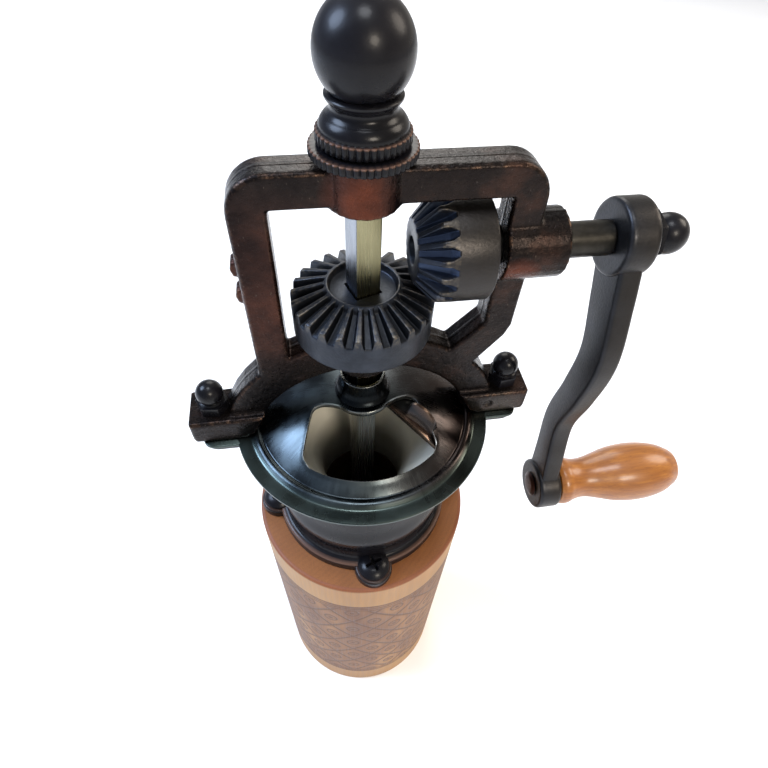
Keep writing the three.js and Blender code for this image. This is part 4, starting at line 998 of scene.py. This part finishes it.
def makeDriveShaft():
    d = driveShaft
    nearCorners = np.radians(np.arange(45, 360, 90)[:, None] + np.linspace(-4, 4, 17))
    angles = np.unique(np.concatenate([turnAngles(96), nearCorners.ravel()]))
    square = squareRadius(d["side"], angles)
    ends = 0.01
    rows = [(0, d["foot"]), (d["journal"], d["foot"]), (d["journal"], d["foot"] + ends),
            (d["journal"], d["squareLow"]), (square, d["squareLow"]), (square, d["squareLow"] + ends),
            (square, lidLevel - 4), (square, lidLevel + 5), (square, d["squareHigh"] - ends),
            (square, d["squareHigh"]), (d["journal"], d["squareHigh"]), (d["journal"], d["top"]),
            (0, d["top"])]

    # painted light on the face towards the light, above the lid, and a painted pale reflection below the lid
    def litFaceLight(x, y, z):
        return (np.abs(np.degrees(np.arctan2(y, x)) - d["litFace"]) < 45) * (z > lidLevel)

    makePiece("shaft_square", [(turned(rows, angles + np.radians(d["turn"])), False)],
              "bar", "drive", ["drive_shaft"],
              {"wearAndPaintedLight": litFaceLight, "rim": lambda x, y, z: 0.7 * (z < lidLevel)}, sharp=30)


gearPair = {
    "teeth": 25, "rim": 12.8, "ring": 6.15, "recess": 1.45, "crestDrop": 8.0, "faceSlope": 0.33, "depth": 1.8,
    "gapShare": 0.21, "foot": lidLevel + 27.55 - crankLevel, "flank": 0.22, "soft": 0.16,
    "pinionTeeth": 18, "pinionRim": 9.0, "pinionFace": 5.4, "faceX": 8.2, "coneX": 11.6, "deepX": 12.9,
    "deepRadius": 7.65, "gapEndX": 14.1, "backX": 20.5, "pinionGapShare": 0.243,
    "pinionBore": 2.3, "pinionSeat": 3.33, "seatDepth": 3.1,
    # half of one tooth step's columns, as shares of the step, close together on the flank
    "columns": [0.05, 0.1, 0.14, 0.17, 0.19, 0.205, 0.22, 0.235, 0.25, 0.265, 0.28, 0.295, 0.31, 0.325,
                0.34, 0.36, 0.4, 0.45],
}
apex = (0, 0, crankLevel)    # where the gears' axes cross


# Angles of a gear's columns: gap middles stand at (i + phase) steps
def toothAngles(teeth, phase):
    half = np.array(gearPair["columns"])
    share = np.concatenate([-half[::-1], [0], half, [0.5]])
    return ((np.arange(teeth)[:, None] + phase + share[None]) * 2 * np.pi / teeth).ravel()


# How much of the tooth stands at an angle: 0 on the gap's floor and 1 on the crest, with the
# flank a ramp as steep as it is cut, rounded at its foot and top
def toothShare(angles, teeth, phase, reach, floorHalf, depth):
    step = 2 * np.pi / teeth
    away = np.abs(np.mod(angles - phase * step + step / 2, step) - step / 2) * reach
    t = (away - floorHalf) / (gearPair["flank"] * np.maximum(depth, 0.05))
    soft = gearPair["soft"]
    return 0.5 * (np.sqrt(t ** 2 + soft ** 2) - np.sqrt((t - 1) ** 2 + soft ** 2) + 1)


# Drive gear's face: crests fall outwards on a shallow cone, and the gaps' floors lie below
# them by a depth that grows towards the rim. Gives height, share of the tooth and depth.
def gearFace(radius, angles):
    g = gearPair
    crest = g["faceSlope"] * (g["rim"] - radius) - g["crestDrop"]
    start = g["ring"] + 0.75
    depth = g["depth"] * (1 - 0.45 * (g["rim"] - radius) / (g["rim"] - start))
    depth = depth * unit((radius - start + 0.2) / 0.4)
    floorHalf = g["gapShare"] * 2 * np.pi / g["teeth"] * radius
    share = toothShare(angles, g["teeth"], 0.5, radius, floorHalf, depth)
    worn = 0.1 * unit((radius - g["rim"] + 0.25) / 0.25) ** 2
    return crest - worn - depth * (1 - share), share, depth


# Pinion's face, with x measured from the apex: the crest is a cone and then the rim, and the
# floor runs in two slopes until it comes out on the rim. Gives radius, share and depth.
def pinionFace(x, angles):
    g = gearPair
    rim = g["pinionRim"]
    cone = g["pinionFace"] + (x - g["faceX"]) * (rim - g["pinionFace"]) / (g["coneX"] - g["faceX"])
    crest = 0.5 * (cone + rim - np.sqrt((cone - rim) ** 2 + 0.02))
    floorX = [g["faceX"] - 1, g["deepX"], g["gapEndX"], g["gapEndX"] + 9]
    floor = np.minimum(np.interp(x, floorX, [g["pinionFace"] - 0.78, g["deepRadius"], rim, rim + 9]), crest)
    narrow = 1 - 0.5 * unit((x - g["deepX"]) / (g["gapEndX"] - g["deepX"]))
    floorHalf = g["pinionGapShare"] * 2 * np.pi / g["pinionTeeth"] * floor * narrow
    share = toothShare(angles, g["pinionTeeth"], 0, 0.5 * (floor + crest), floorHalf, crest - floor)
    return floor + (crest - floor) * share, share, crest - floor


def makeDriveGear():
    g = gearPair
    low, rim, ring = g["foot"], g["rim"], g["ring"]
    angles = toothAngles(g["teeth"], 0.5)
    square = squareRadius(driveShaft["side"] + 0.6, angles - np.radians(driveShaft["turn"]), 40)
    edge = gearFace(rim, angles)[0]
    ringTop = gearFace(ring + 0.3, angles[:1])[0][0]
    floor = ringTop + 0.1 - g["recess"]
    rows = [(square, low), (rim - 0.5, low), (rim - 0.2, low + 0.08), (rim - 0.05, low + 0.22),
            (rim, low + 0.4)]
    rows += [(rim, low + 0.5 + (edge - 0.08 - low - 0.5) * share) for share in np.linspace(0, 1, 5)]
    rows += [(reach, gearFace(reach, angles)[0]) for reach in np.linspace(rim - 0.05, ring + 0.3, 52)]
    rows += [(ring + 0.12, ringTop + 0.01), (ring + 0.02, ringTop - 0.06), (ring - 0.05, ringTop - 0.3),
             (ring - 0.25, floor + 0.15), (ring - 0.4, floor), (square, floor), (square, low)]

    # the face's share and depth at each point, and whether the point lies on the face
    def faceAt(x, y, z):
        level, share, depth = gearFace(np.clip(np.hypot(x, y), ring, rim), np.arctan2(y, x))
        return share, depth, np.abs(z - crankLevel - level) < 0.3

    def crestRub(x, y, z):
        r = np.hypot(x, y)
        share, _, onFace = faceAt(x, y, z)
        crestWear = unit(share * 2.2 - 1.4) * (0.35 + 0.65 * unit((r - 10.5) / 2.2)) * (r < rim + 0.1)
        ringLine = bell(r - ring - 0.05, 0.14) * (z - crankLevel > floor + 0.8)
        return np.where(r > ring + 0.45, crestWear * onFace, 0.55 * ringLine)

    # darker on the gaps' floors between the teeth
    def gapDarkening(x, y, z):
        share, depth, onFace = faceAt(x, y, z)
        return unit(1.1 - share) * (depth > 0.3) * (np.hypot(x, y) < rim - 0.1) * onFace

    makePiece("gear_drive", [(moved(turned(rows, angles), apex), True)], "phosphate", "drive",
              ["drive_gear"], {"wearAndPaintedLight": crestRub, "shadeAndTone": gapDarkening}, sharp=50)


def makePinion():
    g = gearPair
    bore, seat, face, back, rim = g["pinionBore"], g["pinionSeat"], g["faceX"], g["backX"], g["pinionRim"]
    angles = toothAngles(g["pinionTeeth"], 0)
    along = np.linspace(face, g["gapEndX"] + 0.35, 58)
    rows = [(seat, face + g["seatDepth"]), (bore, face + g["seatDepth"]), (bore, face + 0.2),
            (bore + 0.2, face), (g["pinionFace"] - 0.6, face - 0.02),
            (pinionFace(face, angles)[0] - 0.12, face)]
    rows += [(pinionFace(x, angles)[0], x) for x in along[1:]]
    rows += [(rim, g["gapEndX"] + 0.8), (rim, back - 0.4), (rim - 0.05, back - 0.22),
             (rim - 0.2, back - 0.08), (rim - 0.5, back), (seat, back)]

    # the face's share and depth at each point, and whether the point lies on the face
    def faceAt(x, y, z):
        radius, share, depth = pinionFace(x, np.arctan2(y, z - crankLevel))
        return share, depth, (np.abs(np.hypot(y, z - crankLevel) - radius) < 0.25) & (x > face - 0.05)

    def scallopRub(x, y, z):
        share, depth, onFace = faceAt(x, y, z)
        scallop = bell(share - 0.93, 0.06) * (depth > 0.05) * (x > g["coneX"] - 0.3)
        return onFace * scallop + 0.4 * bell(x - face, 0.15) * (np.hypot(y, z - crankLevel) > 4.9)

    # painted lighter blue reflection on the gaps' floors between the teeth
    def gapReflectionMask(x, y, z):
        share, depth, onFace = faceAt(x, y, z)
        return unit(1.1 - share) * (depth > 0.2) * onFace

    def rimTint(x, y, z):
        turnedPart = unit((x - g["coneX"] + 1.6) / 2.6) * (np.hypot(y, z - crankLevel) > 8.3)
        return turnedPart * (1 - gapReflectionMask(x, y, z))

    # reversed, so that the surface drawn about Z stands about X
    grid = turned(rows, angles)[..., ::-1]
    makePiece("gear_pinion", [(moved(grid, apex), True)], "phosphate", "crank", ["pinion_gear"],
              {"wearAndPaintedLight": scallopRub, "paintedGapReflection": gapReflectionMask, "rim": rimTint}, sharp=50)


makeDriveShaft()
makeDriveGear()
makePinion()
print("gears made")

# ---- crank

crank = {
    "armInner": 44.0, "armOuter": 48.5, "proud": 0.6, "reach": 69.6, "lean": 8.5, "ease": 0.9,
    "hub": 6.9, "boss": 6.4, "hole": 2.35,
    # the arm's middle line to the side of a straight one, and its width, at even steps
    "sway": (0, -2.7, -4.65, -2.3, 1.2, 0.8, 0), "widths": (9.5, 9.0, 8.2, 7.4, 6.8, 7.4, 9.0),
    # sections along X, as (radius, distance from the drive shaft)
    "bar": [(0, 11.6), (3.13, 11.6), (3.13, 43.1), (2.4, 43.1), (2.4, 52.3), (0, 52.3)],
    "pin": [(0, 42.5), (2.24, 42.6), (3.2, 43.1), (2.0, 43.1), (2.0, 79.0), (3.2, 79.0), (3.2, 80.8),
            (0, 81.2)],
    "nutFlats": 8.0, "nutHex": 2.2, "nutDome": 3.7, "nutTurn": 12,
}
lean = np.radians(crank["lean"])
downArm = np.array([0, -np.sin(lean), -np.cos(lean)])
acrossArm = np.array([0, np.cos(lean), -np.sin(lean)])
bossSpot = np.array(apex) + crank["reach"] * downArm


# Swept bar: at each point of the centre line stands a rectangle as wide as the line says there,
# whose corners are quarter circles of the ease's radius
def makeArm():
    c = crank
    count = len(c["sway"])
    line = splined(np.stack([np.linspace(0, c["reach"], count), c["sway"]], axis=1), 14)
    widths = splined(np.stack([np.arange(count), c["widths"]], axis=1), 14)[:, 1]
    tangent = np.gradient(line, axis=0)
    tangent /= np.linalg.norm(tangent, axis=1, keepdims=True)
    half = 0.5 * (c["armOuter"] - c["armInner"])
    ease = c["ease"]
    bend = np.linspace(0, np.pi / 2, 6)[None] + np.pi / 2 * np.arange(4)[:, None]
    signX, signY = np.array([1, -1, -1, 1])[:, None], np.array([1, 1, -1, -1])[:, None]
    deep = (signX * (half - ease) + ease * np.cos(bend)).ravel()
    offset = signY * (0.5 * widths[:, None, None] - ease) + ease * np.sin(bend)
    offset = offset.reshape(len(widths), -1)
    middle = 0.5 * (c["armInner"] + c["armOuter"])
    along = line[:, :1] - tangent[:, 1:] * offset
    aside = line[:, 1:] + tangent[:, :1] * offset
    points = (np.array(apex) + along[..., None] * downArm + aside[..., None] * acrossArm
              + (middle + deep[:, None]) * np.array([1.0, 0, 0]))
    grids = [(capped(points), False)]
    inner, outer = c["armInner"] - c["proud"], c["armOuter"] + c["proud"]
    for radius, spot in ((c["hub"], apex), (c["boss"], bossSpot)):
        disc = eased([(c["hole"], inner), (radius, inner), (radius, outer), (c["hole"], outer)],
                     [0.2, 0.9, 0.9, 0.2])
        grids.append((moved(turned(disc, turnAngles(96)), spot, "x"), True))
    makePiece("arm_forged", grids, "phosphate", "crank", ["crank_arm"],
              {"shadeAndTone": lambda x, y, z: 0.3 + 0 * x,
               "rim": lambda x, y, z: 0.5 + 0.5 * unit((x - c["armInner"] - 0.3) / 1.2)})


def makeCrankSmalls():
    c = crank
    bar = eased(c["bar"], [0, 0.3, 0.2, 0, 0.2, 0], False)
    makePiece("crank_bar", [(moved(turned(bar, turnAngles(64)), apex, "x"), False)],
              "arbor", "crank", ["crank_shaft"])
    grid = nutGrid(c["armOuter"] + c["proud"] + 0.3, c["nutFlats"], c["nutHex"], c["nutDome"], c["nutTurn"])
    makePiece("crank_nut_fine", [(moved(grid, apex, "x"), False)],
              "enamel", "crank", ["crank_nut"])
    pin = eased(c["pin"], [0, 0.5, 0.15, 0, 0, 0.1, 0.4, 0], False)
    makePiece("grip_pin", [(moved(turned(pin, turnAngles(48)), bossSpot, "x"), False)],
              "rivet", "crank", ["handle_pin"])


grip = {
    "start": 49.4, "length": 33.0, "radius": 7.6, "bead": 6.1, "neck": 5.1, "bore": 2.3,
    "pocket": 3.5, "pocketDepth": 3.7,
    # the swell from the neck to the end, as shares of the radius and the length
    "swell": [(0.82, 0.38), (0.94, 0.49), (1.0, 0.63), (0.97, 0.76), (0.86, 0.88), (0.68, 0.97),
              (0.6, 0.997)],
}


# Turned grip: a smooth line through bead, neck and swell, with the bore left open inside
def makeGrip():
    g = grip
    bead, neck, end = g["bead"], g["neck"], g["start"] + g["length"]
    front = [(bead - 0.5, 0.004), (bead, 0.035), (bead, 0.075), (bead - 0.45, 0.115),
             (neck + 0.12, 0.165), (neck, 0.22), (neck + 0.35, 0.29)]
    shares = front + [(share * g["radius"], place) for share, place in g["swell"]]
    outside = splined([(radius, g["start"] + place * g["length"]) for radius, place in shares], 9)
    inside = [(g["pocket"], end), (g["pocket"], end - g["pocketDepth"]), (g["bore"], end - g["pocketDepth"]),
              (g["bore"], g["start"]), (bead - 0.9, g["start"])]
    line = np.vstack([outside, inside])
    makePiece("grip_turned", [(moved(turned(line, turnAngles(112)), bossSpot, "x"), True)],
              "beech", "grip", ["handle"])


makeArm()
makeCrankSmalls()
makeGrip()
print("crank made")

# ---- lock ring and finial

finial = {"low": lidLevel + 62.2, "flange": 6.75, "flangeHeight": 1.8, "teeth": 42, "neck": 4.6,
          "ball": 6.5, "height": 19.2, "knurl": 0.3, "tipHeight": 1.7, "lip": 4.6}
lockRing = {"low": lidLevel + 60.5, "radius": 7.85, "height": 1.4, "teeth": 48, "bore": 2.5}


# Rows of a knurled band from its foot to its top. Its teeth are round scallops with narrow
# grooves between, which the radius dips into as a power of a wave of the angle; each row lies
# some way inside the rim, and takes a share of the dip.
def knurlRows(radius, low, height, teeth, angles):
    dip = finial["knurl"] * (0.5 - 0.5 * np.cos(teeth * angles)) ** 2.2
    band = [(0.3, 0.5, 0), (0.1, 0.85, 0.08), (0, 1, 0.25), (0, 1, 0.5 * height), (0, 1, height - 0.28),
            (0.03, 0.9, height - 0.12), (0.12, 0.7, height - 0.03), (0.3, 0.4, height)]
    return [(radius - inset - share * dip, low + level) for inset, share, level in band]


# Where a knurl's top edge is rubbed through: near its outermost ring and its top
def knurlRub(radius, top):
    return lambda x, y, z: 0.85 * bell(np.hypot(x, y) - radius + 0.12, 0.2) * bell(z - top + 0.06, 0.09)


def makeLockRing():
    r = lockRing
    angles = turnAngles(r["teeth"] * 12)
    top, inner = r["low"] + r["height"], r["radius"] - 1.0
    band = knurlRows(r["radius"], r["low"], r["height"], r["teeth"], angles)
    rows = [(r["bore"], r["low"]), (inner, r["low"]), *band, (inner, top), (r["bore"], top)]
    makePiece("ring_knurled", [(turned(rows, angles), True)], "enamel", "lock_nut", ["lock_ring"],
              {"wearAndPaintedLight": knurlRub(r["radius"], top)})


def makeFinial():
    f = finial
    angles = turnAngles(f["teeth"] * 12)
    low, shoulder, top = f["low"], f["low"] + f["flangeHeight"], f["low"] + f["height"]
    band = knurlRows(f["flange"], low, f["flangeHeight"], f["teeth"], angles)
    skirt = [(6.2, 0.1), (6.17, 0.6), (5.95, 1.1), (5.55, 1.6), (5.1, 1.95), (4.72, 2.4), (f["neck"], 2.9),
             (4.75, 3.35), (5.1, 3.75), (5.3, 4.05)]
    lip = [(5.3, 4.3), (5.1, 4.5), (4.75, 4.58)]
    above = np.array([0, shoulder])
    sweep = np.linspace(-np.arccos(f["lip"] / f["ball"]), 0.46 * np.pi, 40)
    centre = top - f["tipHeight"] - f["ball"]
    ball = np.stack([f["ball"] * np.cos(sweep), centre + f["ball"] * np.sin(sweep)], axis=1)
    tip = splined([(1.5, ball[-1, 1] + 0.35), (1.45, top - 0.75), (0.9, top - 0.15), (0, top)], 6)
    rows = [(0, low), (5.9, low), *band, *splined(skirt + above, 6), *(lip + above), *ball, *tip]
    makePiece("finial_turned", [(turned(rows, angles), False)], "enamel", "finial_nut", ["finial"],
              {"wearAndPaintedLight": knurlRub(f["flange"], shoulder)})


makeLockRing()
makeFinial()
print("finial made")

# ---- pieces whose own solids are fine as they are: they get their finish

kept = {
    "enamel": ["lid_bolt_left", "lid_bolt_right"],
    "burr": ["burr_ring", "burr_cone"],
    "bar": ["burr_spring"],
    "zinc": ["foot_spider", "foot_screw_1", "foot_screw_2", "foot_screw_3"],
}
for look, names in kept.items():
    for name in names:
        nodes[name].data.materials.clear()
        nodes[name].data.materials.append(looks[look])

# ---- floor, light and world

studio = {
    "floor": "#f4f3f0", "floorHalf": 3.0, "aim": (0, 0, 0.13),
    "leftSky": "#d6e2fb", "rightSky": "#fdf3e8", "horizon": 0.9, "lowSky": 0.42, "highSky": 0.5,
    # place in metres, aimed at the lid, size in metres, watts, colour
    "lamps": [
        ("windowLeft", (-0.85, 0.22, 0.98), 0.62, 19.0, "#c9deff"),
        ("windowFront", (0.3, -0.95, 0.82), 0.36, 7.0, "#fff3e2"),
        ("windowTop", (0.0, -0.1, 1.3), 0.4, 5.0, "#f4f8ff"),
        ("softRight", (0.9, 0.15, 0.75), 0.5, 5.0, "#fff3e4"),
        ("softBack", (0.1, 0.85, 0.7), 0.6, 4.0, "#fffdf8"),
    ],
}


def makeFloor():
    half = studio["floorHalf"]
    mesh = bpy.data.meshes.new("floor")
    corners = [(-half, -half, 0), (half, -half, 0), (half, half, 0), (-half, half, 0)]
    mesh.from_pydata(corners, [], [(0, 1, 2, 3)])
    floor = placed("floor", mesh)
    look = Look("paleFloor")
    look.fill(look.shader, {"Base Color": linear(studio["floor"]), "Roughness": 0.7})
    mesh.materials.append(look.material)


def makeLamps():
    for name, place, size, power, colour in studio["lamps"]:
        light = bpy.data.lights.new(name, "AREA")
        light.shape = "DISK"
        light.size = size
        light.energy = power
        light.color = linear(colour)[:3]
        back = np.array(place) - np.array(studio["aim"])
        back = back / np.linalg.norm(back)
        side = np.cross([0, 0, 1], back)
        side = side / np.linalg.norm(side)
        placed(name, light).matrix_world = standing(side, np.cross(back, side), back, place)


# The sky's tint goes from cool at the left, -X, to warm at the right, and its light is
# strongest at the horizon and below
def makeWorld():
    world = bpy.data.worlds.new("studio")
    world.use_nodes = True
    bpy.context.scene.world = world
    sky = Tree(world.node_tree)
    direction = sky.add("ShaderNodeTexCoord", "Generated")
    side = sky.add("ShaderNodeSeparateXYZ", "X", {"Vector": direction}) * 0.5 + 0.5
    height = sky.add("ShaderNodeSeparateXYZ", "Z", {"Vector": direction})
    tint = sky.between(side, (0.2, studio["leftSky"]), (0.55, "#ffffff"), (0.85, studio["rightSky"]))
    strength = sky.between(
        height, (0.0, studio["horizon"]), (0.2, studio["lowSky"]), (0.9, studio["highSky"]))
    background = sky.add("ShaderNodeBackground", "Background", {"Color": tint, "Strength": strength})
    sky.node("ShaderNodeOutputWorld", {"Surface": background})


makeFloor()
makeLamps()
makeWorld()
bpy.context.scene.view_settings.view_transform = "Standard"
print("studio made")
